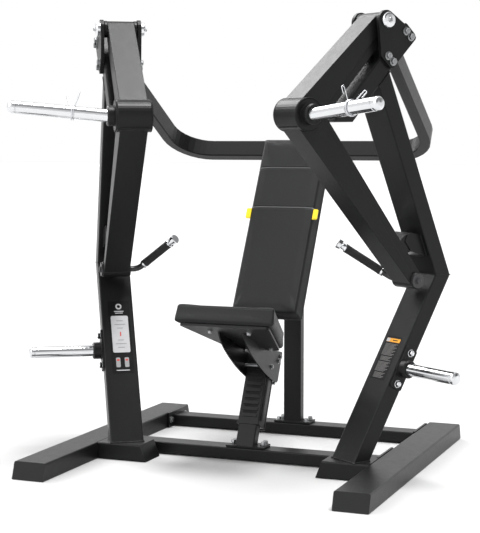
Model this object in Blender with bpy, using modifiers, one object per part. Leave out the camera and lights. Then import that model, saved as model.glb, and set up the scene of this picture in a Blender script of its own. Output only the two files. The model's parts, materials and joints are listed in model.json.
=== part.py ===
"""Plate-loaded chest press machine.

Metres, +Z up, the person on the seat faces -Y.  Left and right are as seen from the front (-X is left).
Each side frame lies in an upright plane turned by YAW about Z.  Points in it are (s, t, z):
s runs forward in the plane, t runs outward across it, z runs up.  A piece is drawn in the frame it
belongs to and placed by that frame; left-hand pieces are mirror images of right-hand ones.
"""
import math

import bmesh
import bpy
from mathutils import Matrix, Vector

GAP = 0.0003            # clearance left at welded and bolted joints

# side frame plane
YAW = math.radians(34.0)
ORIGIN_X = 0.4026
ORIGIN_Y = -0.1809

# base
FOOT_WIDTH = 0.120
FOOT_HEIGHT = 0.060
FOOT_X = 0.5655         # centre line of each foot
FOOT_HALF_TOP = 0.590
FOOT_HALF_BOTTOM = 0.610
STUB_FRONT = -0.2125
STUB_REAR = -0.0925
STUB_END_TOP = 0.3395
STUB_END_BOTTOM = 0.3170
CROSS_DEPTH = 0.080
CROSS_BOTTOM = 0.004
CROSS_HEIGHT = 0.042
CROSS_FRONT_Y = -0.024
CROSS_REAR_Y = 0.4725
FLANGE_THICK = 0.008
FLANGE_FRONT = (-0.0915, 0.0880)    # along Y
FLANGE_REAR = (0.3850, 0.5600)
FLANGE_BOLT = 0.019                 # from each end of a flange plate

# side frame tubes
TUBE_HALF = 0.060       # half of the 120 mm side, across the plane
TUBE_DEPTH = 0.060
LOWER_LEAN = math.radians(30.0)
UPPER_LEAN = math.radians(22.15)
KNEE_S = -0.358
KNEE_Z = 0.678
HEAD_LEAN = math.radians(42.5)
HEAD_S = -0.0805        # head tube centre line at HEAD_Z
HEAD_Z = 1.340
HEAD_BOTTOM_Z = 1.1975
HEAD_TOP_Z = 1.508

# top pivot and clevis plates
PIVOT_S = -0.1196
PIVOT_Z = 1.5326
CLEVIS_IN = TUBE_HALF + GAP
CLEVIS_OUT = 0.0725
NOSE_RADIUS = 0.0335
PIN_RADIUS = 0.0125
HUB_RADIUS = 0.030
HUB_CORE = 0.0235        # the hub inside the arm
HUB_HALF = 0.0590
CAP_RADIUS = 0.026
CAP_END = 0.0885

# moving arm
ARM_HALF = 0.048
RIB_HALF = 0.0435
ELBOW_S = 0.1905
ELBOW_Z = 1.2203
ELBOW_RADIUS = 0.0555
ELBOW_HALF = 0.0620
BOSS_RADIUS = 0.035
BOSS_END = 0.0885
SLEEVE_S = -0.2817
SLEEVE_Z = 0.6590
SLEEVE_RADIUS = 0.0285
SLEEVE_HALF = 0.0520
SHAFT_RADIUS = 0.0130

# faces of the arm's two tubes and of the narrower ribs behind them: a point (s, z) and a direction
UPPER_FRONT = ((0.1886, 1.2900), math.radians(137.6))
UPPER_REAR = ((0.0777, 1.2900), math.radians(132.5))
UPPER_RIB = ((0.0378, 1.2900), math.radians(133.3))
LOWER_FRONT = ((0.2160, 1.1696), math.radians(47.85))
LOWER_REAR = ((0.1060, 1.1696), math.radians(52.95))
LOWER_RIB = ((0.0744, 1.1696), math.radians(52.30))
RIB_MITRE = 182.7       # direction from the elbow of the joint between the two ribs
RIB_LAP = 0.002         # how far a rib runs into its arm

# plate horns
HORN_RADIUS = 0.0225
HORN_TIP = 0.4235
HORN_TILT = math.radians(5.0)
COLLAR_AT = {"right": 0.280, "left": 0.205}      # along the horn from the middle of the arm
WIRE_RADIUS = 0.0020
COIL_START = 77.0       # degrees round the horn, from its front over its top
COIL_TURN = 766.0
COIL_LENGTH = 0.0125
LOOP_HEIGHT = 0.034
LOOP_LEANS = (5.0, -43.0)       # degrees forward of upright, inner loop and outer loop
RACK_S = -0.2125
RACK_Z = 0.3642
RACK_RADIUS = 0.0215
RACK_TIP = 0.332
RACK_BOSS_RADIUS = 0.031
RACK_BOSS_END = 0.0975

# handle, from the bend in the stem
BEND_T = -0.083
BEND_RUN = 0.022        # the bend takes up this much of the stem on either side
GRIP_DIR = Vector((0.664, -0.518, 0.538)).normalized()
STEM_RADIUS = 0.0110
RING_RADIUS = 0.0150
GRIP_RADIUS = 0.0155
GRIP_START = 0.044
GRIP_END = 0.190
HANDLE_END = 0.226

# top bar: a U of flat tube in a plane leaning forward
BAR_LEAN = math.radians(60.0)
BAR_Y = 0.561
BAR_Z = 1.0985
BAR_STRAIGHT = 0.377
BAR_RADIUS = 0.141
BAR_THICK = 0.040
BAR_WIDE = 0.068
BAR_LENGTH = 0.607      # from the middle of the cross part to the head tube, along the lean

# back rest
PAD_LEAN = math.radians(29.0)
PAD_Y = 0.1210          # front face at its bottom edge
PAD_Z = 0.5150
PAD_LENGTH = 0.722
PAD_HALF_FRONT = 0.1275
PAD_HALF_REAR = 0.1400
PAD_THICK = 0.055
BOARD_THICK = 0.009
CARRIER_HALF = 0.035
CARRIER_DEPTH = 0.0095
CARRIER_START = 0.200   # along the pad from its bottom edge
BASE_PLATE = 0.008
BACK_POST_Y = 0.4615
BACK_POST_HALF = 0.035
BACK_POST_DEPTH = 0.040
TAB_CENTRE = 0.404      # along the pad from its bottom edge
TAB_HALF = 0.022

# seat
POST_LEAN = math.radians(26.0)
POST_Y = -0.0630        # front face of the seat post at POST_Z
POST_Z = 0.0545
POST_HALF = 0.035
POST_DEPTH = 0.040
LADDER_START = 0.082
LADDER_END = 0.350
LADDER_HALF = 0.040
LADDER_DEPTH = 0.060
RAIL_FRONT = 0.077      # the guide rail on the ladder's rear
RAIL_REAR = 0.083
RUNG_PITCH = 0.0235
RUNG_COUNT = 10
SEAT_TILT = math.radians(21.3)
SEAT_Y = -0.2674        # underside of the seat at its front edge
SEAT_Z = 0.5168
SEAT_LENGTH = 0.350
SEAT_HALF_FRONT = 0.186
SEAT_HALF_REAR = 0.103
SEAT_THICK = 0.068
SEAT_BOARD = 0.008
PLATE_IN = 0.0435
PLATE_OUT = 0.0485
SEAT_PIN = 0.006

# finishes: colour, roughness, metallic
FINISHES = {
    "frame_paint": ((0.028, 0.029, 0.031), 0.42, 0.0),
    "arm_paint": ((0.030, 0.031, 0.033), 0.40, 0.0),
    "seat_paint": ((0.028, 0.029, 0.031), 0.42, 0.0),
    "chrome": ((0.80, 0.81, 0.82), 0.12, 1.0),
    "stem_steel": ((0.035, 0.035, 0.038), 0.38, 0.0),
    "pin_steel": ((0.62, 0.63, 0.65), 0.30, 1.0),
    "spring_steel": ((0.58, 0.59, 0.61), 0.28, 1.0),
    "grip_rubber": ((0.025, 0.025, 0.027), 0.70, 0.0),
    "bumper_rubber": ((0.020, 0.020, 0.021), 0.80, 0.0),
    "upholstery": ((0.052, 0.053, 0.056), 0.50, 0.0),
    "board": ((0.035, 0.035, 0.037), 0.60, 0.0),
    "tab_yellow": ((0.92, 0.74, 0.02), 0.50, 0.0),
}

WORLD = Matrix.Identity(4)


# frames that pieces are drawn in, each a place and a turn about one axis
def turned_frame(place, angle, axis):
    return Matrix.Translation(place) @ Matrix.Rotation(angle, 4, axis)


SIDE = turned_frame((ORIGIN_X, ORIGIN_Y, 0.0), -YAW - math.pi / 2.0, "Z")       # s, t, z
PAD = turned_frame((0.0, PAD_Y, PAD_Z), -PAD_LEAN, "X")                         # x, depth, along
POST = turned_frame((0.0, POST_Y, POST_Z), -POST_LEAN, "X")                     # x, depth, along
SEAT = turned_frame((0.0, SEAT_Y, SEAT_Z), -SEAT_TILT, "X")                     # x, back, up
BAR = turned_frame((0.0, BAR_Y, BAR_Z), BAR_LEAN + math.pi / 2.0, "X")          # x, along, face

# how a flat outline (a, b) of thickness c lies in its frame
FLAT = Matrix.Identity(4)                                                   # a, b, c
UPRIGHT = Matrix(((1, 0, 0, 0), (0, 0, 1, 0), (0, 1, 0, 0), (0, 0, 0, 1)))  # a, c, b
PROFILE = Matrix(((0, 0, 1, 0), (1, 0, 0, 0), (0, 1, 0, 0), (0, 0, 0, 1)))  # c, a, b

# which axis of its frame a piece's left-hand twin is mirrored along
MIRROR_X = Matrix.Diagonal((-1.0, 1.0, 1.0, 1.0))
MIRROR_T = Matrix.Diagonal((1.0, -1.0, 1.0, 1.0))

Y_AXIS = Vector((0.0, 1.0, 0.0))
X_AXIS = Vector((1.0, 0.0, 0.0))
Z_AXIS = Vector((0.0, 0.0, 1.0))
SAME_WAY = math.cos(math.radians(12.0))     # edges this close to a direction run along it


# ---------------------------------------------------------------- objects

def clear_scene():
    for obj in list(bpy.data.objects):
        bpy.data.objects.remove(obj)


def parts_collection():
    """The collection that holds the machine."""
    found = bpy.data.collections.get("chest_press_machine")
    if found is None:
        found = bpy.data.collections.new("chest_press_machine")
        bpy.context.scene.collection.children.link(found)
    return found


def new_object(name, data, frame=WORLD):
    obj = bpy.data.objects.new(name, data)
    parts_collection().objects.link(obj)
    obj.matrix_world = frame
    return obj


def finish_material(name):
    """The Principled material of one finish."""
    material = bpy.data.materials.get(name)
    if material is None:
        colour, roughness, metallic = FINISHES[name]
        material = bpy.data.materials.new(name)
        material.use_nodes = True
        shader = material.node_tree.nodes["Principled BSDF"]
        shader.inputs["Base Color"].default_value = (*colour, 1.0)
        shader.inputs["Roughness"].default_value = roughness
        shader.inputs["Metallic"].default_value = metallic
    return material


def keep(obj, name, finish, body):
    """Name a finished piece, give it its material and parent it to its body."""
    obj.name = name
    obj.data.name = name
    obj.data.materials.clear()
    obj.data.materials.append(finish_material(finish))
    obj.data.shade_smooth()
    obj.data.set_sharp_from_angle(angle=math.radians(35.0))
    holder = bpy.data.objects[body]
    obj.parent = holder
    obj.matrix_parent_inverse = holder.matrix_world.inverted()


def keep_pair(obj, stem, finish, body, mirror=MIRROR_T):
    """Keep a right-hand piece and its mirror image on the left; body is a stem, unless it is the frame."""
    bpy.context.view_layer.update()
    twin = new_object("twin", baked(obj, mirror), MIRROR_X @ obj.matrix_world @ mirror)
    for side, piece in (("right", obj), ("left", twin)):
        keep(piece, f"{stem}_{side}", finish, body if body == "frame" else f"{body}_{side}")


def add_body(name, location, parent=None):
    """An empty on a joint's axis, which the body's pieces hang from."""
    empty = new_object(name, None, Matrix.Translation(location))
    if parent:
        empty.parent = bpy.data.objects[parent]
        empty.matrix_parent_inverse = Matrix.Translation(empty.parent.matrix_world.translation).inverted()
    bpy.context.view_layer.update()


# ---------------------------------------------------------------- shapes

def baked(obj, change=WORLD, dissolve=False):
    """An object's evaluated mesh, moved by change, welded and with its faces pointing out."""
    graph = bpy.context.evaluated_depsgraph_get()
    mesh = bpy.data.meshes.new_from_object(obj.evaluated_get(graph))
    mesh.transform(change)
    bm = bmesh.new()
    bm.from_mesh(mesh)
    bmesh.ops.remove_doubles(bm, verts=bm.verts, dist=1e-6)
    if dissolve:
        bmesh.ops.dissolve_limit(bm, angle_limit=math.radians(0.2), verts=bm.verts, edges=bm.edges)
    bmesh.ops.recalc_face_normals(bm, faces=bm.faces)
    bm.to_mesh(mesh)
    bm.free()
    return mesh


def settled(source, change, frame, dissolve=False):
    """Turn a curve or an object with modifiers into a plain mesh object in its frame."""
    obj = new_object("piece", baked(source, change, dissolve), frame)
    bpy.data.objects.remove(source)
    return obj


def flat_curve(name, points, cyclic):
    """A curve object through (a, b) points with straight stretches."""
    curve = bpy.data.curves.new(name, "CURVE")
    curve.dimensions = "2D"
    spline = curve.splines.new("POLY")
    spline.points.add(len(points) - 1)
    for point, (a, b) in zip(spline.points, points):
        point.co = (a, b, 0.0, 1.0)
    spline.use_cyclic_u = cyclic
    return new_object(name, curve)


def plate(outline, lo, hi, lies, frame):
    """A flat outline of (a, b) points with a thickness from lo to hi."""
    flat = flat_curve("outline", outline, cyclic=True)
    flat.data.fill_mode = "BOTH"
    flat.data.extrude = (hi - lo) / 2.0
    middle = Matrix.Translation((0.0, 0.0, (lo + hi) / 2.0))
    return settled(flat, lies @ middle, frame, dissolve=True)


def shaped_box(corner, frame):
    """A cube whose eight corners go where corner(i, j, k) says, with i, j and k each 0 or 1."""
    bm = bmesh.new()
    bmesh.ops.create_cube(bm, size=1.0)
    for vert in bm.verts:
        vert.co = corner(*(1 if value > 0.0 else 0 for value in vert.co))
    mesh = bpy.data.meshes.new("box")
    bm.to_mesh(mesh)
    bm.free()
    return new_object("box", mesh, frame)


def block(lo, hi):
    """An upright box from its lowest to its highest corner."""
    ends = (lo, hi)
    return shaped_box(lambda i, j, k: (ends[i][0], ends[j][1], ends[k][2]), WORLD)


def turned(profile, steps, origin, axis, frame, closed=False):
    """A solid of revolution: (radius, height) points turned about an axis of the frame.

    The profile starts and ends on the axis, or is closed and leaves a bore.
    """
    bm = bmesh.new()
    points = [bm.verts.new((radius, 0.0, height)) for radius, height in reversed(profile)]
    for a, b in zip(points, points[1:]):
        bm.edges.new((a, b))
    if closed:
        bm.edges.new((points[-1], points[0]))
    mesh = bpy.data.meshes.new("profile")
    bm.to_mesh(mesh)
    bm.free()
    source = new_object("profile", mesh)
    screw = source.modifiers.new("turn", "SCREW")
    screw.steps = steps
    screw.render_steps = steps
    screw.use_merge_vertices = True
    screw.merge_threshold = 0.00001
    turn = Vector(axis).to_track_quat("Z", "Y").to_matrix().to_4x4()
    return settled(source, Matrix.Translation(origin) @ turn, frame)


def rod(path, radii, resolution, frame):
    """A round bar along a list of points, with its radius at each."""
    curve = bpy.data.curves.new("rod", "CURVE")
    curve.dimensions = "3D"
    curve.bevel_depth = max(radii)
    curve.bevel_resolution = resolution
    curve.use_fill_caps = True
    spline = curve.splines.new("POLY")
    spline.points.add(len(path) - 1)
    for point, place, radius in zip(spline.points, path, radii):
        point.co = (*place, 1.0)
        point.radius = radius / curve.bevel_depth
    return settled(new_object("rod", curve), WORLD, frame)


def round_edges(obj, width, direction=None, chosen=None, segments=2):
    """Round the edges that run along a direction of the frame and that chosen(start, end) picks, or all."""
    weights = obj.data.attributes.new("bevel_weight_edge", "FLOAT", "EDGE")
    for edge in obj.data.edges:
        start, end = (obj.data.vertices[i].co for i in edge.vertices)
        picked = True
        if direction is not None:
            picked = abs((end - start).normalized().dot(direction.normalized())) > SAME_WAY
        if picked and chosen is not None:
            picked = chosen(start, end)
        weights.data[edge.index].value = 1.0 if picked else 0.0
    bevel = obj.modifiers.new("round", "BEVEL")
    bevel.limit_method = "WEIGHT"
    bevel.width = width
    bevel.segments = segments
    return obj


def combine(obj, other, operation="UNION"):
    """Join, or cut, one solid with another and drop the second."""
    boolean = obj.modifiers.new("combine", "BOOLEAN")
    boolean.operation = operation
    boolean.solver = "EXACT"
    boolean.object = other
    mesh = baked(obj)
    obj.modifiers.clear()
    obj.data = mesh
    bpy.data.objects.remove(other)
    return obj


def add_bolt(obj, origin, axis, frame, radius=0.0095, height=0.0070):
    """Stand a hexagon bolt head on a face, sunk a little so that it joins."""
    profile = [(0.0, -0.002), (radius, -0.002), (radius, height * 0.8)]
    profile += [(radius * 0.84, height), (0.0, height)]
    combine(obj, turned(profile, 6, origin, axis, frame))


# ---------------------------------------------------------------- plane geometry

def arc(centre, radius, start, stop, step=6.0):
    """Points on an arc in a plane, at most step degrees apart."""
    count = math.ceil(abs(stop - start) / step)
    points = []
    for k in range(count + 1):
        angle = math.radians(start + (stop - start) * k / count)
        points.append((centre[0] + radius * math.cos(angle), centre[1] + radius * math.sin(angle)))
    return points


def rectangle(half, lo, hi):
    """An outline half wide either side of the middle, from lo to hi."""
    return [(-half, lo), (half, lo), (half, hi), (-half, hi)]


def line_at(z, s0, z0, lean):
    """s on a line through (s0, z0) that leans rearward going up by lean."""
    return s0 - math.tan(lean) * (z - z0)


def meet(p, angle_p, q, angle_q):
    """Where two lines in a plane cross, each from a point and an angle."""
    dp = (math.cos(angle_p), math.sin(angle_p))
    dq = (math.cos(angle_q), math.sin(angle_q))
    det = dp[0] * dq[1] - dp[1] * dq[0]
    k = ((q[0] - p[0]) * dq[1] - (q[1] - p[1]) * dq[0]) / det
    return (p[0] + dp[0] * k, p[1] + dp[1] * k)


def ray_circle(line, centre, radius, further):
    """Where a line crosses a circle: the crossing further along the line, or the nearer one."""
    (p, angle) = line
    d = (math.cos(angle), math.sin(angle))
    f = (p[0] - centre[0], p[1] - centre[1])
    b = f[0] * d[0] + f[1] * d[1]
    root = math.sqrt(b * b - f[0] * f[0] - f[1] * f[1] + radius * radius)
    k = -b + root if further else -b - root
    return (p[0] + d[0] * k, p[1] + d[1] * k)


def bearing(point, centre):
    """Direction of a point from a centre in degrees, 0 to 360."""
    return math.degrees(math.atan2(point[1] - centre[1], point[0] - centre[0])) % 360.0


def shifted(line, distance):
    """The same line moved square to itself, to the right of its direction when distance is positive."""
    (p, angle) = line
    return ((p[0] + math.sin(angle) * distance, p[1] - math.cos(angle) * distance), angle)


def heading(angle):
    """The direction of a line of the (s, z) plane in the side frame."""
    return Vector((math.cos(angle), 0.0, math.sin(angle)))


# ---------------------------------------------------------------- base

def make_feet():
    half = FOOT_WIDTH / 2.0
    outline = [(-FOOT_HALF_BOTTOM, 0.0), (FOOT_HALF_BOTTOM, 0.0)]
    outline += [(FOOT_HALF_TOP, FOOT_HEIGHT), (-FOOT_HALF_TOP, FOOT_HEIGHT)]
    foot = plate(outline, FOOT_X - half, FOOT_X + half, PROFILE, WORLD)
    round_edges(foot, 0.005, Y_AXIS)
    keep_pair(foot, "foot", "frame_paint", "frame", MIRROR_X)
    inner = FOOT_X - half - GAP
    outline = [(STUB_END_BOTTOM, 0.0), (inner, 0.0), (inner, FOOT_HEIGHT), (STUB_END_TOP, FOOT_HEIGHT)]
    stub = plate(outline, STUB_FRONT, STUB_REAR, UPRIGHT, WORLD)
    round_edges(stub, 0.005, X_AXIS)
    keep_pair(stub, "stub", "frame_paint", "frame", MIRROR_X)


def make_cross(name, y, flange):
    """A cross tube with its bolted end plates, which reach from flange[0] to flange[1] along Y."""
    end = FOOT_X - FOOT_WIDTH / 2.0 - GAP
    inner = end - FLANGE_THICK
    half = CROSS_DEPTH / 2.0
    top = CROSS_BOTTOM + CROSS_HEIGHT
    tube = block((-inner - 0.003, y - half, CROSS_BOTTOM), (inner + 0.003, y + half, top))
    round_edges(tube, 0.004, X_AXIS)
    for sign in (-1.0, 1.0):
        lo = (min(sign * inner, sign * end), flange[0], 0.002)
        hi = (max(sign * inner, sign * end), flange[1], FOOT_HEIGHT + 0.001)
        combine(tube, block(lo, hi))
        for bolt_y in (flange[0] + FLANGE_BOLT, flange[1] - FLANGE_BOLT):
            add_bolt(tube, (sign * inner, bolt_y, 0.031), (-sign, 0.0, 0.0), WORLD)
    keep(tube, name, "frame_paint", "frame")


# ---------------------------------------------------------------- side frames

def post_lines():
    """Directions of the post tubes, the knee at their front, and a point on the rear face of each."""
    lower = math.pi / 2.0 + LOWER_LEAN
    upper = math.pi / 2.0 - UPPER_LEAN
    front = (KNEE_S, KNEE_Z)
    low_rear = (KNEE_S - TUBE_DEPTH * math.cos(LOWER_LEAN), KNEE_Z - TUBE_DEPTH * math.sin(LOWER_LEAN))
    high_rear = (KNEE_S - TUBE_DEPTH * math.cos(UPPER_LEAN), KNEE_Z + TUBE_DEPTH * math.sin(UPPER_LEAN))
    return lower, upper, front, low_rear, high_rear


def make_posts():
    lower, upper, front, low_rear, high_rear = post_lines()
    knee_rear = meet(low_rear, lower, high_rear, upper)
    floor = FOOT_HEIGHT + GAP
    base_front = meet(front, lower, (0.0, floor), 0.0)
    base_rear = meet(low_rear, lower, (0.0, floor), 0.0)
    post = plate([base_front, front, knee_rear, base_rear], -TUBE_HALF, TUBE_HALF, UPRIGHT, SIDE)
    round_edges(post, 0.004, heading(lower))
    keep_pair(post, "post_lower", "frame_paint", "frame")

    rear_of_head = (HEAD_S - TUBE_DEPTH / 2.0 / math.cos(HEAD_LEAN) - GAP * 2.0, HEAD_Z)
    head = math.pi / 2.0 + HEAD_LEAN
    top_front = meet(front, upper, rear_of_head, head)
    top_rear = meet(high_rear, upper, rear_of_head, head)
    outline = [(front[0], front[1] + GAP), top_front, top_rear, (knee_rear[0], knee_rear[1] + GAP)]
    post = plate(outline, -TUBE_HALF, TUBE_HALF, UPRIGHT, SIDE)
    round_edges(post, 0.004, heading(upper))
    keep_pair(post, "post_upper", "frame_paint", "frame")


def head_outline():
    half = TUBE_DEPTH / 2.0 / math.cos(HEAD_LEAN)
    bottom = line_at(HEAD_BOTTOM_Z, HEAD_S, HEAD_Z, HEAD_LEAN)
    top = line_at(HEAD_TOP_Z, HEAD_S, HEAD_Z, HEAD_LEAN)
    reach = TUBE_DEPTH / 2.0
    top_front = (top + reach * math.cos(HEAD_LEAN), HEAD_TOP_Z + reach * math.sin(HEAD_LEAN))
    top_rear = (top - reach * math.cos(HEAD_LEAN), HEAD_TOP_Z - reach * math.sin(HEAD_LEAN))
    return [(bottom - half, HEAD_BOTTOM_Z), (bottom + half, HEAD_BOTTOM_Z), top_front, top_rear]


def make_heads():
    head = plate(head_outline(), -TUBE_HALF, TUBE_HALF, UPRIGHT, SIDE)
    round_edges(head, 0.005, heading(math.pi / 2.0 + HEAD_LEAN))
    keep_pair(head, "head_tube", "frame_paint", "frame")


def clevis_outline():
    nose = arc((PIVOT_S, PIVOT_Z), NOSE_RADIUS, 0.0, 125.0, 14.0)
    points = [(-0.0973, 1.4143), (-0.0880, 1.5050)] + nose
    points += [(-0.1960, 1.5235), (-0.2240, 1.5040), (-0.2462, 1.4822), (-0.2440, 1.4740)]
    points += [(-0.1470, 1.3760), (-0.1395, 1.3756)]
    return points


def clevis_bolts():
    """(s, z) of the four bolts: two rows square to the head tube."""
    places = []
    for z in (1.4070, 1.4910):
        s = line_at(z, HEAD_S, HEAD_Z, HEAD_LEAN)
        for step in (-0.0135, 0.0135):
            places.append((s + step * math.cos(HEAD_LEAN), z + step * math.sin(HEAD_LEAN)))
    return places


def make_clevis(name, sign):
    """A bolted pivot plate on the outer (sign 1) or inner (sign -1) side of the head tube."""
    lo = min(sign * CLEVIS_IN, sign * CLEVIS_OUT)
    hi = max(sign * CLEVIS_IN, sign * CLEVIS_OUT)
    clevis = plate(clevis_outline(), lo, hi, UPRIGHT, SIDE)
    combine(clevis, pivot_bore(PIN_RADIUS + GAP), "DIFFERENCE")
    for s, z in clevis_bolts():
        add_bolt(clevis, (s, sign * CLEVIS_OUT, z), (0.0, sign, 0.0), SIDE, radius=0.0105)
    keep_pair(clevis, name, "frame_paint", "frame")


def pivot_bore(radius):
    """A round bar through the whole width at the top pivot, to cut with."""
    reach = CLEVIS_OUT + 0.01
    profile = [(0.0, -reach), (radius, -reach), (radius, reach), (0.0, reach)]
    return turned(profile, 28, (PIVOT_S, 0.0, PIVOT_Z), Y_AXIS, SIDE)


def make_stops():
    """Bracket on the upper post and the rubber bumper the arm rests on."""
    upper = math.pi / 2.0 - UPPER_LEAN
    face = (KNEE_S + GAP * 1.5, KNEE_Z)
    rear_top = meet(face, upper, (0.0, 0.816), 0.0)
    rear_bottom = meet(face, upper, (0.0, 0.738), 0.0)
    outline = [(-0.2630, 0.7600), (-0.2360, 0.7965), (-0.2465, 0.8190), (-0.2600, 0.8250)]
    bracket = plate([rear_bottom] + outline + [rear_top], -0.040, 0.040, UPRIGHT, SIDE)
    keep_pair(bracket, "stop_bracket", "frame_paint", "frame")
    outline = [(-0.2622, 0.7592), (-0.2475, 0.7550), (-0.2155, 0.7975), (-0.2330, 0.8140)]
    outline.append((-0.2455, 0.8189))
    bumper = plate(outline + [(-0.2352, 0.7964)], -0.036, 0.036, UPRIGHT, SIDE)
    keep_pair(bumper, "bumper", "bumper_rubber", "frame")


def make_racks():
    """Storage plate with its boss and bolts, and the storage horn."""
    along = (-math.sin(LOWER_LEAN), math.cos(LOWER_LEAN))
    square = (math.cos(LOWER_LEAN), math.sin(LOWER_LEAN))
    corners = []
    for a, b in ((-0.075, -0.026), (-0.075, 0.026), (0.075, 0.026), (0.075, -0.026)):
        corners.append((RACK_S + along[0] * a + square[0] * b, RACK_Z + along[1] * a + square[1] * b))
    face = TUBE_HALF + 0.0065
    rack = plate(corners, TUBE_HALF + GAP, face, UPRIGHT, SIDE)
    round_edges(rack, 0.006, Y_AXIS)
    for a in (-0.058, 0.058):
        place = (RACK_S + along[0] * a, face, RACK_Z + along[1] * a)
        add_bolt(rack, place, Y_AXIS, SIDE, radius=0.0115, height=0.009)
    centre = (RACK_S, 0.0, RACK_Z)
    rim = RACK_BOSS_END
    boss = [(0.0, face - 0.002), (RACK_BOSS_RADIUS, face - 0.002), (RACK_BOSS_RADIUS, rim - 0.004)]
    boss += [(RACK_BOSS_RADIUS - 0.004, rim), (0.0, rim)]
    combine(rack, turned(boss, 28, centre, Y_AXIS, SIDE))
    keep_pair(rack, "rack_plate", "frame_paint", "frame")
    bar = horn(RACK_RADIUS, rim + GAP, RACK_TIP, centre, Y_AXIS, 0.010)
    keep_pair(bar, "rack_horn", "chrome", "frame")


def horn(radius, start, tip, origin, axis, dome):
    """A round bar with a shallow groove before its rounded tip."""
    neck = tip - dome - 0.012
    profile = [(0.0, start), (radius, start), (radius, neck), (radius - 0.0018, neck + 0.0012)]
    profile += [(radius - 0.0018, neck + 0.0032), (radius, neck + 0.0044), (radius, tip - dome)]
    for k in range(1, 4):
        angle = math.pi / 2.0 * k / 4.0
        profile.append((radius * math.cos(angle) ** 0.75, tip - dome + dome * math.sin(angle)))
    profile.append((0.0, tip))
    return turned(profile, 28, origin, axis, SIDE)


# ---------------------------------------------------------------- moving arms

def make_upper_arm():
    elbow = (ELBOW_S, ELBOW_Z)
    pivot = (PIVOT_S, PIVOT_Z)
    clear = ELBOW_RADIUS + GAP
    low = bearing(ray_circle(UPPER_FRONT, elbow, clear, True), elbow)
    high = bearing(ray_circle(UPPER_REAR, elbow, clear, True), elbow)
    normal = math.degrees(UPPER_FRONT[1]) - 90.0
    foot = meet(UPPER_FRONT[0], UPPER_FRONT[1], pivot, math.radians(normal))
    nose = math.hypot(foot[0] - pivot[0], foot[1] - pivot[1])
    end = bearing(ray_circle(UPPER_REAR, pivot, nose, True), pivot)
    outline = arc(elbow, clear, low, high) + arc(pivot, nose, end, normal, 15.0)
    arm = plate(outline, -ARM_HALF, ARM_HALF, UPRIGHT, SIDE)
    round_edges(arm, 0.004, heading(UPPER_FRONT[1]))

    inside = shifted(UPPER_REAR, RIB_LAP)
    start = bearing(ray_circle(inside, elbow, clear, True), elbow)
    corner = meet(UPPER_RIB[0], UPPER_RIB[1], elbow, math.radians(RIB_MITRE))
    top = (PIVOT_S + 0.030, PIVOT_Z - 0.034)
    square = UPPER_RIB[1] - math.pi / 2.0
    outline = arc(elbow, clear, start, RIB_MITRE - 0.3) + [corner]
    outline += [meet(UPPER_RIB[0], UPPER_RIB[1], top, square), meet(inside[0], inside[1], top, square)]
    rib = plate(outline, -RIB_HALF, RIB_HALF, UPRIGHT, SIDE)
    round_edges(rib, 0.004, heading(UPPER_RIB[1]))
    combine(arm, rib)
    combine(arm, pivot_bore(HUB_CORE + GAP), "DIFFERENCE")
    keep_pair(arm, "arm_upper", "arm_paint", "arm")


def make_lower_arm():
    elbow = (ELBOW_S, ELBOW_Z)
    sleeve = (SLEEVE_S, SLEEVE_Z)
    clear = ELBOW_RADIUS + GAP
    small = SLEEVE_RADIUS + GAP
    rear = bearing(ray_circle(LOWER_REAR, elbow, clear, False), elbow)
    front = bearing(ray_circle(LOWER_FRONT, elbow, clear, False), elbow)
    end_front = bearing(ray_circle(LOWER_FRONT, sleeve, small, True), sleeve) - 360.0
    end_rear = bearing(ray_circle(LOWER_REAR, sleeve, small, True), sleeve)
    outline = arc(elbow, clear, rear, front) + arc(sleeve, small, end_front, end_rear, 8.0)
    arm = plate(outline, -ARM_HALF, ARM_HALF, UPRIGHT, SIDE)
    round_edges(arm, 0.004, heading(LOWER_FRONT[1]))

    inside = shifted(LOWER_REAR, RIB_LAP)
    start = bearing(ray_circle(inside, elbow, clear, False), elbow)
    corner = meet(LOWER_RIB[0], LOWER_RIB[1], elbow, math.radians(RIB_MITRE + 0.3))
    stop = bearing(ray_circle(inside, sleeve, small, True), sleeve)
    rise = 0.012        # the rib ends this far above the sleeve's middle
    last = 180.0 - math.degrees(math.asin(rise / small))
    tail = meet(LOWER_RIB[0], LOWER_RIB[1], (0.0, SLEEVE_Z + rise), 0.0)
    outline = arc(elbow, clear, start, RIB_MITRE + 0.3) + [corner, tail]
    outline += arc(sleeve, small, last, stop, 8.0)
    rib = plate(outline, -RIB_HALF, RIB_HALF, UPRIGHT, SIDE)
    round_edges(rib, 0.004, heading(LOWER_RIB[1]))
    combine(arm, rib)
    keep_pair(arm, "arm_lower", "arm_paint", "arm")


def horn_axis():
    return Vector((0.0, math.cos(HORN_TILT), math.sin(HORN_TILT)))


def horn_origin():
    return Vector((ELBOW_S + 0.004, 0.0, ELBOW_Z - BOSS_END * math.tan(HORN_TILT)))


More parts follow.
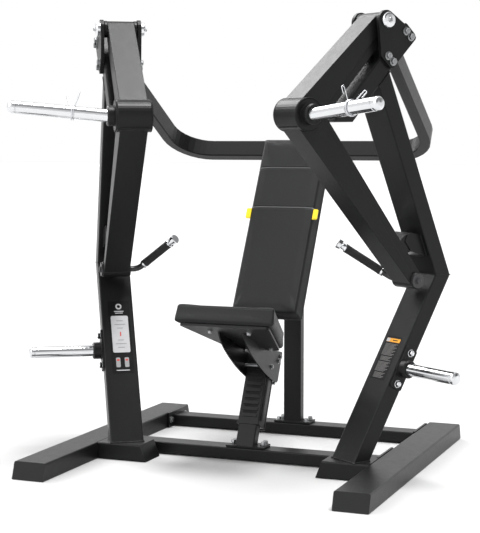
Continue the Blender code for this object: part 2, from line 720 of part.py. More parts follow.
def make_elbow():
    """Sleeve at the elbow with the boss that carries the horn, and the horn itself."""
    edge = 0.006
    nick = edge * 0.3
    profile = [(0.0, -ELBOW_HALF), (ELBOW_RADIUS - edge, -ELBOW_HALF)]
    profile += [(ELBOW_RADIUS - nick, -ELBOW_HALF + nick), (ELBOW_RADIUS, -ELBOW_HALF + edge)]
    profile += [(ELBOW_RADIUS, ELBOW_HALF - edge), (ELBOW_RADIUS - nick, ELBOW_HALF - nick)]
    profile += [(ELBOW_RADIUS - edge, ELBOW_HALF)]
    profile += [(BOSS_RADIUS, ELBOW_HALF), (BOSS_RADIUS, BOSS_END - 0.004), (BOSS_RADIUS - 0.004, BOSS_END)]
    profile += [(0.0, BOSS_END)]
    elbow = turned(profile, 40, (ELBOW_S, 0.0, ELBOW_Z), Y_AXIS, SIDE)
    keep_pair(elbow, "elbow", "arm_paint", "arm")
    bar = horn(HORN_RADIUS, 0.070, HORN_TIP, horn_origin(), horn_axis(), 0.016)
    reach = 0.060
    square = [(ELBOW_S - reach, ELBOW_Z - reach), (ELBOW_S + reach, ELBOW_Z - reach)]
    square += [(ELBOW_S + reach, ELBOW_Z + reach), (ELBOW_S - reach, ELBOW_Z + reach)]
    combine(bar, plate(square, 0.040, BOSS_END + GAP, UPRIGHT, SIDE), "DIFFERENCE")
    keep_pair(bar, "arm_horn", "chrome", "arm")


def make_collar(side, flip):
    """Spring collar: one wire, a coil round the horn with both ends turned up as finger loops."""
    axis = horn_axis()
    up = (Z_AXIS - axis * Z_AXIS.dot(axis)).normalized()
    across = axis.cross(up)
    radius = HORN_RADIUS + WIRE_RADIUS + 0.0006
    centre = horn_origin() + axis * COLLAR_AT[side]
    steps = 42
    path = []
    for k in range(steps + 1):
        angle = math.radians(COIL_START + COIL_TURN * k / steps)
        along = (k / steps - 0.5) * COIL_LENGTH
        path.append(centre + axis * along + (across * math.cos(angle) + up * math.sin(angle)) * radius)
    loops = []
    for start, lean, outside in ((path[0], LOOP_LEANS[0], axis * -1.0), (path[-1], LOOP_LEANS[1], axis)):
        lean = math.radians(lean)
        loops.append(loop_end(start, up * math.cos(lean) + across * math.sin(lean), outside))
    path = loops[0][::-1] + path + loops[1]
    wire = rod(path, [WIRE_RADIUS] * len(path), 1, SIDE)
    if side == "left":
        right = wire
        wire = new_object("twin", baked(right, MIRROR_T), flip @ right.matrix_world @ MIRROR_T)
        bpy.data.objects.remove(right)
    keep(wire, f"collar_{side}", "spring_steel", f"spring_collar_{side}")


def loop_end(start, upright, outside):
    """A finger loop: up from the coil, round, and back down beside itself."""
    tall = (upright + outside * 0.24).normalized()
    side = tall.cross(outside).normalized()
    bend = 0.0050
    root = start + tall * 0.008
    points = [root, root + tall * LOOP_HEIGHT]
    for k in range(1, 5):
        angle = math.pi * k / 5.0
        swing = side * (bend * (1.0 - math.cos(angle))) + tall * (bend * math.sin(angle))
        points.append(root + tall * LOOP_HEIGHT + swing)
    points += [root + tall * LOOP_HEIGHT + side * bend * 2.0, root + tall * 0.014 + side * bend * 2.0]
    return points


def make_hub():
    """Bearing tube of the arm with a flange each side, and the pin with its domed ends."""
    pivot = (PIVOT_S, 0.0, PIVOT_Z)
    inner = PIN_RADIUS + GAP
    step = ARM_HALF + GAP * 2.0
    profile = [(inner, -HUB_HALF), (HUB_RADIUS - 0.002, -HUB_HALF), (HUB_RADIUS, -HUB_HALF + 0.002)]
    profile += [(HUB_RADIUS, -step), (HUB_CORE, -step), (HUB_CORE, step), (HUB_RADIUS, step)]
    profile += [(HUB_RADIUS, HUB_HALF - 0.002), (HUB_RADIUS - 0.002, HUB_HALF), (inner, HUB_HALF)]
    hub = turned(profile, 24, pivot, Y_AXIS, SIDE, closed=True)
    keep_pair(hub, "pivot_hub", "arm_paint", "arm")
    face = CLEVIS_OUT + GAP
    dome = [(PIN_RADIUS, face), (CAP_RADIUS, face), (CAP_RADIUS, CAP_END - 0.006)]
    dome += [(CAP_RADIUS - 0.002, CAP_END - 0.002), (CAP_RADIUS - 0.006, CAP_END), (0.0085, CAP_END + 0.0015)]
    dome += [(0.0075, CAP_END + 0.0035), (0.0, CAP_END + 0.0042)]
    opposite = [(r, -h) for r, h in reversed(dome)]
    pin = turned(opposite + dome, 24, pivot, Y_AXIS, SIDE)
    keep_pair(pin, "pivot_pin", "chrome", "frame")


def make_handle():
    """Cross sleeve, the bent stem that turns in it, the grip and the end cap."""
    centre = Vector((SLEEVE_S, 0.0, SLEEVE_Z))
    inner = SHAFT_RADIUS + GAP
    rim = SLEEVE_RADIUS - 0.002
    profile = [(inner, -SLEEVE_HALF), (rim, -SLEEVE_HALF), (SLEEVE_RADIUS, -SLEEVE_HALF + 0.002)]
    profile += [(SLEEVE_RADIUS, SLEEVE_HALF - 0.002), (rim, SLEEVE_HALF), (inner, SLEEVE_HALF)]
    sleeve = turned(profile, 28, centre, Y_AXIS, SIDE, closed=True)
    keep_pair(sleeve, "cross_sleeve", "arm_paint", "arm")

    bend = centre + Y_AXIS * BEND_T
    enter = bend + Y_AXIS * BEND_RUN
    leave = bend + GRIP_DIR * BEND_RUN
    path = [centre + Y_AXIS * t for t in (SLEEVE_HALF + 0.003, -SLEEVE_HALF - GAP, -SLEEVE_HALF - GAP * 2.0)]
    radii = [SHAFT_RADIUS, SHAFT_RADIUS, STEM_RADIUS]
    for k in range(9):
        f = k / 8.0
        path.append(enter * (1.0 - f) ** 2 + bend * (2.0 * f * (1.0 - f)) + leave * f * f)
        radii.append(STEM_RADIUS)
    ring = [(0.0335, STEM_RADIUS), (0.0338, RING_RADIUS), (0.0402, RING_RADIUS), (0.0405, STEM_RADIUS)]
    for distance, radius in ring + [(GRIP_END, STEM_RADIUS)]:
        path.append(bend + GRIP_DIR * distance)
        radii.append(radius)
    stem = rod(path, radii, 5, SIDE)
    face = SLEEVE_HALF + GAP
    washer = [(0.0, face), (0.0255, face), (0.0255, face + 0.0045), (0.0105, face + 0.0050)]
    washer += [(0.0105, face + 0.0095), (0.0085, face + 0.0110), (0.0, face + 0.0110)]
    combine(stem, turned(washer, 24, centre, Y_AXIS, SIDE))
    keep_pair(stem, "handle_stem", "stem_steel", "handle")

    inner = STEM_RADIUS + GAP
    profile = [(inner, GRIP_START), (GRIP_RADIUS - 0.001, GRIP_START), (GRIP_RADIUS, GRIP_START + 0.002)]
    profile += [(GRIP_RADIUS, GRIP_END - 0.002), (GRIP_RADIUS - 0.001, GRIP_END), (inner, GRIP_END)]
    grip = turned(profile, 20, bend, GRIP_DIR, SIDE, closed=True)
    keep_pair(grip, "grip", "grip_rubber", "handle")
    face = GRIP_END + GAP
    profile = [(0.0, face), (0.0165, face), (0.0165, face + 0.004), (0.0115, face + 0.006)]
    profile += [(0.0115, face + 0.016), (0.0170, face + 0.020), (0.0175, HANDLE_END - 0.002)]
    profile += [(0.0155, HANDLE_END), (0.0, HANDLE_END)]
    cap = turned(profile, 20, bend, GRIP_DIR, SIDE)
    keep_pair(cap, "grip_cap", "chrome", "handle")


# ---------------------------------------------------------------- top bar and back rest

def bar_section():
    """The bar's flat tube section, as a curve to sweep: X is its thickness and Y its width."""
    half = BAR_THICK / 2.0
    wide = BAR_WIDE / 2.0
    cut = 0.004
    corners = [(-half, -wide + cut), (-half + cut, -wide), (half - cut, -wide), (half, -wide + cut)]
    corners += [(half, wide - cut), (half - cut, wide), (-half + cut, wide), (-half, wide - cut)]
    return flat_curve("bar_section", corners, cyclic=True)


def make_top_bar():
    """The U swept along its middle line, with its two ends cut to the head tubes."""
    right = arc((BAR_STRAIGHT, BAR_RADIUS), BAR_RADIUS, -90.0, 0.0, 11.25)
    right.append((BAR_STRAIGHT + BAR_RADIUS, BAR_LENGTH + 0.15))
    left = [(-x, u) for x, u in reversed(right)]
    path = flat_curve("bar_path", left + right, cyclic=False)
    section = bar_section()
    path.data.bevel_mode = "OBJECT"
    path.data.bevel_object = section
    path.data.use_fill_caps = True
    path.data.fill_mode = "NONE"
    bar = settled(path, WORLD, BAR)
    bpy.data.objects.remove(section)
    for mirrored in (False, True):
        combine(bar, head_blank(mirrored), "DIFFERENCE")
    keep(bar, "top_bar", "frame_paint", "frame")


def head_blank(mirrored):
    """A block from the rear face of one head tube forward, to trim the bar against it."""
    rear = (HEAD_S - TUBE_DEPTH / 2.0 / math.cos(HEAD_LEAN) - GAP * 2.0, HEAD_Z)
    down = (-math.sin(HEAD_LEAN), math.cos(HEAD_LEAN))
    forward = (math.cos(HEAD_LEAN), math.sin(HEAD_LEAN))
    corners = []
    for a, b in ((-0.30, 0.0), (-0.30, 0.50), (0.45, 0.50), (0.45, 0.0)):
        corners.append((rear[0] + down[0] * a + forward[0] * b, rear[1] + down[1] * a + forward[1] * b))
    frame = MIRROR_X @ SIDE @ MIRROR_T if mirrored else SIDE
    return plate(corners, -0.20, 0.20, UPRIGHT, frame)


def make_back():
    """Cushion, board and carrier strip, front to rear, and the tabs on the cushion's edges."""
    halves = (PAD_HALF_FRONT, PAD_HALF_REAR)
    flare = 0.010

    def corner(i, j, k):
        end = (-flare, PAD_LENGTH + flare) if j else (0.0, PAD_LENGTH)
        return (halves[j] * (2 * i - 1), PAD_THICK * j, end[k])

    cushion = shaped_box(corner, PAD)
    keep(round_edges(cushion, 0.006, segments=3), "back_pad", "upholstery", "frame")

    lo = PAD_THICK + GAP
    outline = rectangle(PAD_HALF_REAR - 0.010, 0.0, PAD_LENGTH)
    board = plate(outline, lo, lo + BOARD_THICK, UPRIGHT, PAD)
    keep(round_edges(board, 0.015, Y_AXIS), "back_board", "board", "frame")

    lo += BOARD_THICK + GAP
    outline = rectangle(CARRIER_HALF, CARRIER_START, PAD_LENGTH - 0.015)
    carrier = plate(outline, lo, lo + CARRIER_DEPTH, UPRIGHT, PAD)
    keep(round_edges(carrier, 0.008, Y_AXIS), "back_carrier", "frame_paint", "frame")

    a = PAD_HALF_FRONT
    outline = [(a + 0.0012, 0.001), (a + 0.0190, 0.002), (a + 0.0190, 0.013), (a + 0.0042, 0.013)]
    tab = plate(outline, TAB_CENTRE - TAB_HALF, TAB_CENTRE + TAB_HALF, FLAT, PAD)
    round_edges(tab, 0.002, Z_AXIS, chosen=lambda start, end: start.x > a + 0.018)
    keep_pair(tab, "pad_tab", "tab_yellow", "frame", MIRROR_X)


def make_back_post():
    """Upright tube on a bolted base plate, cut to the lean of the back rest."""
    top = CROSS_BOTTOM + CROSS_HEIGHT + GAP
    deck = top + BASE_PLATE
    foot = block((-0.073, CROSS_REAR_Y - 0.038, top), (0.073, CROSS_REAR_Y + 0.038, deck))
    round_edges(foot, 0.002, segments=1)
    front = BACK_POST_Y - BACK_POST_DEPTH / 2.0
    rear = BACK_POST_Y + BACK_POST_DEPTH / 2.0
    face = PAD @ Vector((0.0, PAD_THICK + BOARD_THICK + CARRIER_DEPTH + GAP * 3.5, 0.0))
    rise = 1.0 / math.tan(PAD_LEAN)
    outline = [(front, deck - 0.002), (rear, deck - 0.002)]
    outline += [(rear, face.z + (rear - face.y) * rise), (front, face.z + (front - face.y) * rise)]
    post = plate(outline, -BACK_POST_HALF, BACK_POST_HALF, PROFILE, WORLD)
    round_edges(post, 0.004, Z_AXIS)
    combine(foot, post)
    for x in (-0.056, 0.056):
        for y in (-0.024, 0.024):
            add_bolt(foot, (x, CROSS_REAR_Y + y, deck), Z_AXIS, WORLD, radius=0.0085)
    keep(foot, "back_post", "frame_paint", "frame")


# ---------------------------------------------------------------- seat

def make_seat_post():
    """Leaning tube on a bolted base plate."""
    top = CROSS_BOTTOM + CROSS_HEIGHT + GAP
    foot = block((-0.072, CROSS_FRONT_Y - 0.038, top), (0.072, CROSS_FRONT_Y + 0.038, POST_Z))
    round_edges(foot, 0.002, segments=1)
    sunk = POST_Z - 0.002
    deep = POST_DEPTH / math.cos(POST_LEAN)
    front = POST_Y - 0.002 * math.tan(POST_LEAN)
    end_front = POST @ Vector((0.0, 0.0, LADDER_START - GAP))
    end_rear = POST @ Vector((0.0, POST_DEPTH, LADDER_START - GAP))
    outline = [(front, sunk), (front + deep, sunk), (end_rear.y, end_rear.z), (end_front.y, end_front.z)]
    post = plate(outline, -POST_HALF, POST_HALF, PROFILE, WORLD)
    round_edges(post, 0.004, Vector((0.0, math.sin(POST_LEAN), math.cos(POST_LEAN))))
    combine(foot, post)
    for x in (-0.057, 0.057):
        for y in (0.002, 0.026):
            add_bolt(foot, (x, CROSS_FRONT_Y + y, POST_Z), Z_AXIS, WORLD, radius=0.0085)
    keep(foot, "seat_post", "frame_paint", "frame")


def make_ladder():
    """Upper seat post: box with a rear rail, a foot band, and raised rungs on its front face."""
    box = rectangle(LADDER_HALF, 0.0, LADDER_DEPTH)
    ladder = plate(box, LADDER_START, LADDER_END, FLAT, POST)
    round_edges(ladder, 0.004, Z_AXIS, chosen=lambda start, end: start.y < 0.001)
    web = rectangle(0.008, LADDER_DEPTH - 0.003, RAIL_FRONT + 0.003)
    combine(ladder, plate(web, LADDER_START, LADDER_END, FLAT, POST))
    rail = rectangle(0.036, RAIL_FRONT, RAIL_REAR)
    combine(ladder, plate(rail, LADDER_START, LADDER_END, FLAT, POST))
    band = rectangle(0.0425, -0.004, 0.050)
    clamp = plate(band, LADDER_START + 0.001, LADDER_START + 0.014, FLAT, POST)
    combine(ladder, round_edges(clamp, 0.003, Z_AXIS))
    for k in range(RUNG_COUNT):
        low = LADDER_START + 0.026 + RUNG_PITCH * k
        comb = [(0.002, low), (-0.0030, low + 0.002), (-0.0030, low + 0.0125), (0.002, low + 0.0145)]
        combine(ladder, plate(comb, -0.029, 0.029, PROFILE, POST))
    keep(ladder, "seat_ladder", "seat_paint", "frame")


def make_seat():
    """Cushion, carriage with its side plates, and the two pins that ride on the ladder."""
    halves = (SEAT_HALF_FRONT, SEAT_HALF_REAR)
    cushion = shaped_box(lambda i, j, k: (halves[j] * (2 * i - 1), SEAT_LENGTH * j, SEAT_THICK * k), SEAT)
    keep(round_edges(cushion, 0.008, segments=3), "seat_pad", "upholstery", "seat")

    inset = 0.014
    a = SEAT_HALF_FRONT - inset * 1.4
    b = SEAT_HALF_REAR - inset * 0.6
    rear = SEAT_LENGTH - inset
    carriage = plate([(-a, inset), (a, inset), (b, rear), (-b, rear)], -SEAT_BOARD - GAP, -GAP, FLAT, SEAT)
    round_edges(carriage, 0.012, Z_AXIS)
    for sign in (-1.0, 1.0):
        lo = min(sign * PLATE_IN, sign * PLATE_OUT)
        hi = max(sign * PLATE_IN, sign * PLATE_OUT)
        combine(carriage, plate(carriage_outline(), lo, hi, PROFILE, WORLD))
    keep(carriage, "seat_carriage", "seat_paint", "seat")

    span = PLATE_IN - GAP
    profile = [(0.0, -span), (SEAT_PIN, -span), (SEAT_PIN, span), (0.0, span)]
    front_pin = (0.0, -0.0030 - SEAT_PIN - 0.001, 0.2985)
    rear_pin = (0.0, RAIL_REAR + SEAT_PIN + 0.001, 0.2650)
    for name, centre in (("seat_pin_front", front_pin), ("seat_pin_rear", rear_pin)):
        keep(turned(profile, 20, centre, X_AXIS, POST), name, "pin_steel", "seat")


def carriage_outline():
    """(y, z) outline of the two side plates under the seat."""
    lead = SEAT @ Vector((0.0, 0.080, -SEAT_BOARD * 0.5))
    tail = SEAT @ Vector((0.0, SEAT_LENGTH - 0.016, -SEAT_BOARD * 0.5))
    points = [(lead.y, lead.z), (-0.1780, 0.4560), (-0.1600, 0.4330), (-0.1310, 0.4065), (-0.0850, 0.3720)]
    points += [(-0.0325, 0.3370), (0.0200, 0.3070), (0.0715, 0.2810), (0.1250, 0.2590), (0.1400, 0.2550)]
    points += [(0.1505, 0.2600), (0.1980, 0.3540), (0.1930, 0.3610), (tail.y, tail.z)]
    return points


# ---------------------------------------------------------------- bodies

def make_bodies():
    """The frame, and an empty on the axis of each joint that hangs from it."""
    add_body("frame", (0.0, 0.0, 0.0))
    add_body("seat", SEAT.translation, "frame")
    for side, flip in (("right", WORLD), ("left", MIRROR_X)):
        add_body(f"arm_{side}", flip @ SIDE @ Vector((PIVOT_S, 0.0, PIVOT_Z)), "frame")
        add_body(f"handle_{side}", flip @ SIDE @ Vector((SLEEVE_S, 0.0, SLEEVE_Z)), f"arm_{side}")
        collar = horn_origin() + horn_axis() * COLLAR_AT[side]
        add_body(f"spring_collar_{side}", flip @ SIDE @ collar, f"arm_{side}")


def build():
    clear_scene()
    make_bodies()
    make_feet()
    make_cross("cross_front", CROSS_FRONT_Y, FLANGE_FRONT)
    make_cross("cross_rear", CROSS_REAR_Y, FLANGE_REAR)
    make_posts()
    make_heads()
    make_clevis("clevis_outer", 1.0)
    make_clevis("clevis_inner", -1.0)
    make_stops()
    make_racks()
    make_upper_arm()
    make_lower_arm()
    make_elbow()
    make_collar("right", WORLD)
    make_collar("left", MIRROR_X)
    make_hub()
    make_handle()
    make_top_bar()
    make_back()
    make_back_post()
    make_seat_post()
    make_ladder()
    make_seat()


build()
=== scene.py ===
import json
import math
import random

import bmesh
import bpy
from mathutils import Matrix, Vector
from mathutils.bvhtree import BVHTree


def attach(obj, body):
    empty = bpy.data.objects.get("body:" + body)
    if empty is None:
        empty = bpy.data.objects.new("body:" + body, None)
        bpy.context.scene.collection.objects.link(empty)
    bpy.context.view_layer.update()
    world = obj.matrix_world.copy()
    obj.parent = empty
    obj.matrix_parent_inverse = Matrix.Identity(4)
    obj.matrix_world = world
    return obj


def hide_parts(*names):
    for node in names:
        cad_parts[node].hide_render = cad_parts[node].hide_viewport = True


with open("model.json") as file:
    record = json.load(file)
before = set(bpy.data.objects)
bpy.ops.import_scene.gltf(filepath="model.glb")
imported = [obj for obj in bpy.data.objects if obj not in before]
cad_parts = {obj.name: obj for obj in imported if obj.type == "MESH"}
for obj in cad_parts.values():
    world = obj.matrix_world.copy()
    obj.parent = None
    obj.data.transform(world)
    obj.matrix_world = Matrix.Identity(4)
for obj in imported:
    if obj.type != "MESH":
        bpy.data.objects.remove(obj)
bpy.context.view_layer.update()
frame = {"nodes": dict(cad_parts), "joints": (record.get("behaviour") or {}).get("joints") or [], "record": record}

JOINTS = {joint["name"]: joint for joint in frame["joints"]}
WORLD = Matrix.Identity(4)
MIRROR = Matrix.Diagonal((-1.0, 1.0, 1.0, 1.0))
X_AXIS = Vector((1.0, 0.0, 0.0))
Y_AXIS = Vector((0.0, 1.0, 0.0))
Z_AXIS = Vector((0.0, 0.0, 1.0))

# camera
CAMERA_AT = (1.8633, -4.7751, 1.1357)
CAMERA_TO = (-0.0408, 0.0, 0.6896)
LENS = 97.7

# side frames, as in the CAD
PIVOT_S = -0.1196
PIVOT_Z = 1.5326
TUBE_HALF = 0.060
TUBE_DEPTH = 0.060
LOWER_LEAN = math.radians(30.0)
UPPER_LEAN = math.radians(22.15)
HEAD_LEAN = math.radians(42.5)
KNEE = (-0.358, 0.678)
HEAD = (-0.0805, 1.340)
HEAD_TOP_Z = 1.508
CLEVIS_OUT = 0.0725
PIN_END = 0.0885
ELBOW = (0.1905, 1.2203)
ELBOW_RADIUS = 0.0555
ELBOW_HALF = 0.062
BOSS_RADIUS = 0.035
BOSS_END = 0.0885
ARM_HALF = 0.048
HORN_TILT = math.radians(5.0)
HORN_RADIUS = 0.0225
COLLAR_AT = {"right": 0.280, "left": 0.205}
SLEEVE = (-0.2817, 0.6590)
SLEEVE_RADIUS = 0.0285
SLEEVE_HALF = 0.052
SLEEVE_BOLT_T = SLEEVE_HALF + 0.0050
RACK = (-0.2125, 0.3642)
RACK_FACE = 0.0665
GRIP_BEND_T = -0.083
GRIP_DIR = Vector((0.664, -0.518, 0.538)).normalized()
STEM_RADIUS = 0.0113      # bore of the grip and of its ring
GRIP_OUTER = 0.0150
GRIP_LIP = 0.0155
GRIP_START = 0.0470
GRIP_END = 0.1898
GRIP_RIBS = 34

# base
BACK_DECK_Z = 0.0543    # top of the back post's base plate
SEAT_DECK_Z = 0.0545    # top of the seat post's base plate
FLANGE_X = 0.4969
FLANGE_BOLTS = ((-0.0725, 0.0690), (0.4040, 0.5410))
CROSS_Y = (-0.024, 0.4725)

# back rest and seat
PAD_LEAN = math.radians(29.0)
PAD_AT = (0.0, 0.1210, 0.5150)
PAD_LENGTH = 0.722
PAD_HALF_FRONT = 0.1275
PAD_THICK = 0.055
PAD_SEAMS = (0.425, 0.592)
TAB_CENTRE = 0.401
SEAT_TILT = math.radians(21.3)
SEAT_AT = (0.0, -0.2674, 0.5168)
SEAT_LENGTH = 0.350
SEAT_HALF_FRONT = 0.186
SEAT_HALF_REAR = 0.103
SEAT_THICK = 0.068
POST_LEAN = math.radians(26.0)
POST_AT = (0.0, -0.0630, 0.0545)
LADDER_START = 0.082
RUNG_PITCH = 0.0235
RUNG_COUNT = 10
LADDER_TOP = 0.335

# looks
BEAD_PITCH = 0.0045
SHARP_ANGLE = math.radians(38.0)
CLOTH_STEPS = 20
CLOTH_QUALITY = 5
PUFF_PRESSURE = 4.0
PUFF_LIMIT = 0.0035
STITCH_PITCH = 0.0062
WELT_PITCH = 0.012
WELT_RADIUS = 0.0030
LOOK_FROM = 0.05        # how far outside a cover the search for its surface starts
PLACARD_Z = (0.289, 0.538)
NOTICE_Z = (0.323, 0.465)
PRINT_THICK = 0.00025
LAYER_BASE = 0.0002
LAYER_PANEL = 0.0005
LAYER_BARS = 0.0006
LAYER_SPOT = 0.0008
LAYER_TOP = 0.0009
FLOOR_SIZE = 60.0
LIGHTS = (              # name, direction, width in degrees, strength
    ("overhead", (0.9, 0.25, 4.0), 24.0, 4.4),
    ("back_left", (-2.7, 1.55, 2.3), 32.0, 1.95),
    ("front", (-1.5, -3.0, 2.2), 60.0, 1.1),
)
DIM_X = (0.05, 0.80)    # the sky dims from the first to the second of these, towards +X
DIM_Z = (0.20, 0.36)    # and the same going up, so that it is white at eye level
DIM_LEVEL = 0.02


# ---------------------------------------------------------------- frames

def tilted(place, angle):
    return Matrix.Translation(place) @ Matrix.Rotation(angle, 4, "X")


def side_frame():
    """The right side frame's (s, t, z) axes, from the hinge of its arm."""
    press = JOINTS["arm_right_press"]
    outward = -Vector(press["axis"]).normalized()
    forward = outward.cross(Z_AXIS)
    origin = Vector(press["pos_m"]) - forward * PIVOT_S
    origin.z = 0.0
    axes = Matrix((forward, outward, Z_AXIS)).transposed().to_4x4()
    return Matrix.Translation(origin) @ axes


SIDE = side_frame()
PAD = tilted(PAD_AT, -PAD_LEAN)         # x, depth, along
SEAT = tilted(SEAT_AT, -SEAT_TILT)      # x, back, up
POST = tilted(POST_AT, -POST_LEAN)      # x, depth, along


def facing(origin, axis):
    """A place whose Z axis runs along axis."""
    turn = Vector(axis).to_track_quat("Z", "Y").to_matrix().to_4x4()
    return Matrix.Translation(origin) @ turn


def line_at(z, point, lean):
    """s on a line through point that leans rearward going up."""
    return point[0] - math.tan(lean) * (z - point[1])


def meet(p, angle_p, q, angle_q):
    """Where two lines of the (s, z) plane cross, each from a point and an angle."""
    dp = (math.cos(angle_p), math.sin(angle_p))
    dq = (math.cos(angle_q), math.sin(angle_q))
    k = ((q[0] - p[0]) * dq[1] - (q[1] - p[1]) * dq[0]) / (dp[0] * dq[1] - dp[1] * dq[0])
    return (p[0] + dp[0] * k, p[1] + dp[1] * k)


# ---------------------------------------------------------------- material nodes

class Surface:
    """A Principled material that is built up one node at a time."""

    def __init__(self, name, roughness, metallic=0.0, specular=0.5):
        self.material = bpy.data.materials.new(name)
        self.material.use_nodes = True
        self.tree = self.material.node_tree
        self.shader = self.tree.nodes["Principled BSDF"]
        self.shader.inputs["Roughness"].default_value = roughness
        self.shader.inputs["Metallic"].default_value = metallic
        self.shader.inputs["Specular IOR Level"].default_value = specular
        self.place = self.node("ShaderNodeTexCoord").outputs["Object"]

    def node(self, kind, **values):
        made = self.tree.nodes.new(kind)
        for key, value in values.items():
            name = key.replace("_", " ").title()
            if name in made.inputs:
                self.give(made.inputs[name], value)
            else:
                setattr(made, key, value)
        return made

    def give(self, socket, value):
        if isinstance(value, bpy.types.NodeSocket):
            self.tree.links.new(value, socket)
        else:
            socket.default_value = value

    def noise(self, scale, detail=3.0, stretch=None):
        """Noise over the object, stretched by (x, y, z) factors."""
        where = self.place
        if stretch:
            where = self.node("ShaderNodeMapping", vector=where, scale=stretch).outputs["Vector"]
        return self.node("ShaderNodeTexNoise", vector=where, scale=scale, detail=detail).outputs["Fac"]

    def cells(self, scale):
        found = self.node("ShaderNodeTexVoronoi", feature="DISTANCE_TO_EDGE", vector=self.place, scale=scale)
        return found.outputs["Distance"]

    def range(self, value, low, high, to_low, to_high):
        made = self.node("ShaderNodeMapRange")
        for index, given in enumerate((value, low, high, to_low, to_high)):
            self.give(made.inputs[index], given)
        return made.outputs["Result"]

    def mix(self, factor, first, second):
        made = self.node("ShaderNodeMix", data_type="RGBA")
        self.give(made.inputs["Factor"], factor)
        for socket, colour in ((made.inputs[6], first), (made.inputs[7], second)):
            self.give(socket, colour if isinstance(colour, bpy.types.NodeSocket) else (*colour, 1.0))
        return made.outputs[2]

    def math(self, operation, first, second):
        made = self.node("ShaderNodeMath", operation=operation)
        self.give(made.inputs[0], first)
        self.give(made.inputs[1], second)
        return made.outputs[0]

    def edges(self, radius):
        """About 0 on flat faces and up to 1 on the edges of the mesh."""
        bevel = self.node("ShaderNodeBevel", samples=4, radius=radius)
        flat = self.node("ShaderNodeNewGeometry").outputs["Normal"]
        made = self.node("ShaderNodeVectorMath", operation="DOT_PRODUCT")
        self.give(made.inputs[0], bevel.outputs["Normal"])
        self.give(made.inputs[1], flat)
        return self.range(made.outputs["Value"], 0.995, 0.80, 0.0, 1.0)

    def bump(self, height, distance, strength):
        made = self.node("ShaderNodeBump", strength=strength, distance=distance, height=height)
        before = self.shader.inputs["Normal"]
        if before.is_linked:
            self.tree.links.new(before.links[0].from_socket, made.inputs["Normal"])
        self.tree.links.new(made.outputs["Normal"], before)

    def colour(self, value):
        self.give(self.shader.inputs["Base Color"], value)

    def roughness(self, value):
        self.give(self.shader.inputs["Roughness"], value)


def shade(colour, factor):
    return tuple(channel * factor for channel in colour)


def paint(name, colour):
    """Satin powder coat: orange peel, faint rubbed patches, edges worn a little lighter."""
    surface = Surface(name, 0.36, specular=0.20)
    patches = surface.noise(9.0, 4.0)
    speckle = surface.noise(900.0, 2.0)
    base = surface.mix(patches, shade(colour, 0.88), shade(colour, 1.14))
    base = surface.mix(surface.range(speckle, 0.58, 0.75, 0.0, 0.35), base, shade(colour, 2.2))
    scuffs = surface.range(surface.noise(60.0, 4.0), 0.42, 0.70, 0.2, 1.0)
    worn = surface.math("MULTIPLY", surface.edges(0.0022), scuffs)
    surface.colour(surface.mix(surface.math("MULTIPLY", worn, 0.55), base, (0.055, 0.056, 0.058)))
    surface.roughness(surface.range(surface.noise(45.0, 5.0), 0.3, 0.7, 0.335, 0.375))
    surface.bump(surface.noise(520.0, 2.0), 0.00035, 0.55)
    surface.bump(speckle, 0.00012, 0.5)
    return surface.material


def chrome():
    """Polished chrome with hair-fine turning lines and a faint haze."""
    surface = Surface("chrome_finish", 0.10, metallic=1.0)
    haze = surface.noise(9.0, 5.0)
    surface.colour(surface.mix(haze, (0.66, 0.67, 0.69), (0.78, 0.79, 0.80)))
    lines = surface.noise(240.0, 2.0, stretch=(3.0, 1.2, 0.6))
    surface.roughness(surface.range(haze, 0.3, 0.7, 0.07, 0.17))
    surface.bump(lines, 0.00008, 0.25)
    return surface.material


def steel(name, colour, rough):
    """Zinc plated steel: patchy sheen and fine scratches."""
    surface = Surface(name, rough, metallic=1.0)
    patch = surface.noise(120.0, 4.0)
    surface.colour(surface.mix(patch, shade(colour, 0.78), shade(colour, 1.15)))
    surface.roughness(surface.range(patch, 0.3, 0.7, rough * 0.8, rough * 1.35))
    surface.bump(surface.noise(1500.0, 2.0, stretch=(1.0, 0.15, 1.0)), 0.00008, 0.5)
    return surface.material


def dark_steel():
    """Black oxide handle stem, with patches of polish and tone all over it."""
    surface = Surface("stem_finish", 0.36, specular=0.5)
    patch = surface.noise(22.0, 5.0)
    surface.colour(surface.mix(patch, (0.016, 0.016, 0.018), (0.034, 0.034, 0.037)))
    surface.roughness(surface.range(patch, 0.3, 0.7, 0.26, 0.44))
    surface.bump(surface.noise(800.0, 2.0), 0.0001, 0.4)
    return surface.material


def rubber(name, colour, pitch):
    """Moulded rubber: fine dimples with painted shade in the grooves between them, slightly chalky where it is
    handled.
    """
    surface = Surface(name, 0.62, specular=0.35)
    dimples = surface.range(surface.cells(pitch), 0.0, 0.25, 0.0, 1.0)
    chalk = surface.noise(35.0, 4.0)
    base = surface.mix(chalk, shade(colour, 0.75), shade(colour, 1.4))
    # Painted shade: the grooves between the dimples, the low parts of the bump, are painted darker.
    surface.colour(surface.mix(surface.math("SUBTRACT", 1.0, dimples), base, shade(colour, 0.45)))
    surface.roughness(surface.range(chalk, 0.3, 0.7, 0.52, 0.74))
    surface.bump(dimples, 0.0004, 0.6)
    return surface.material


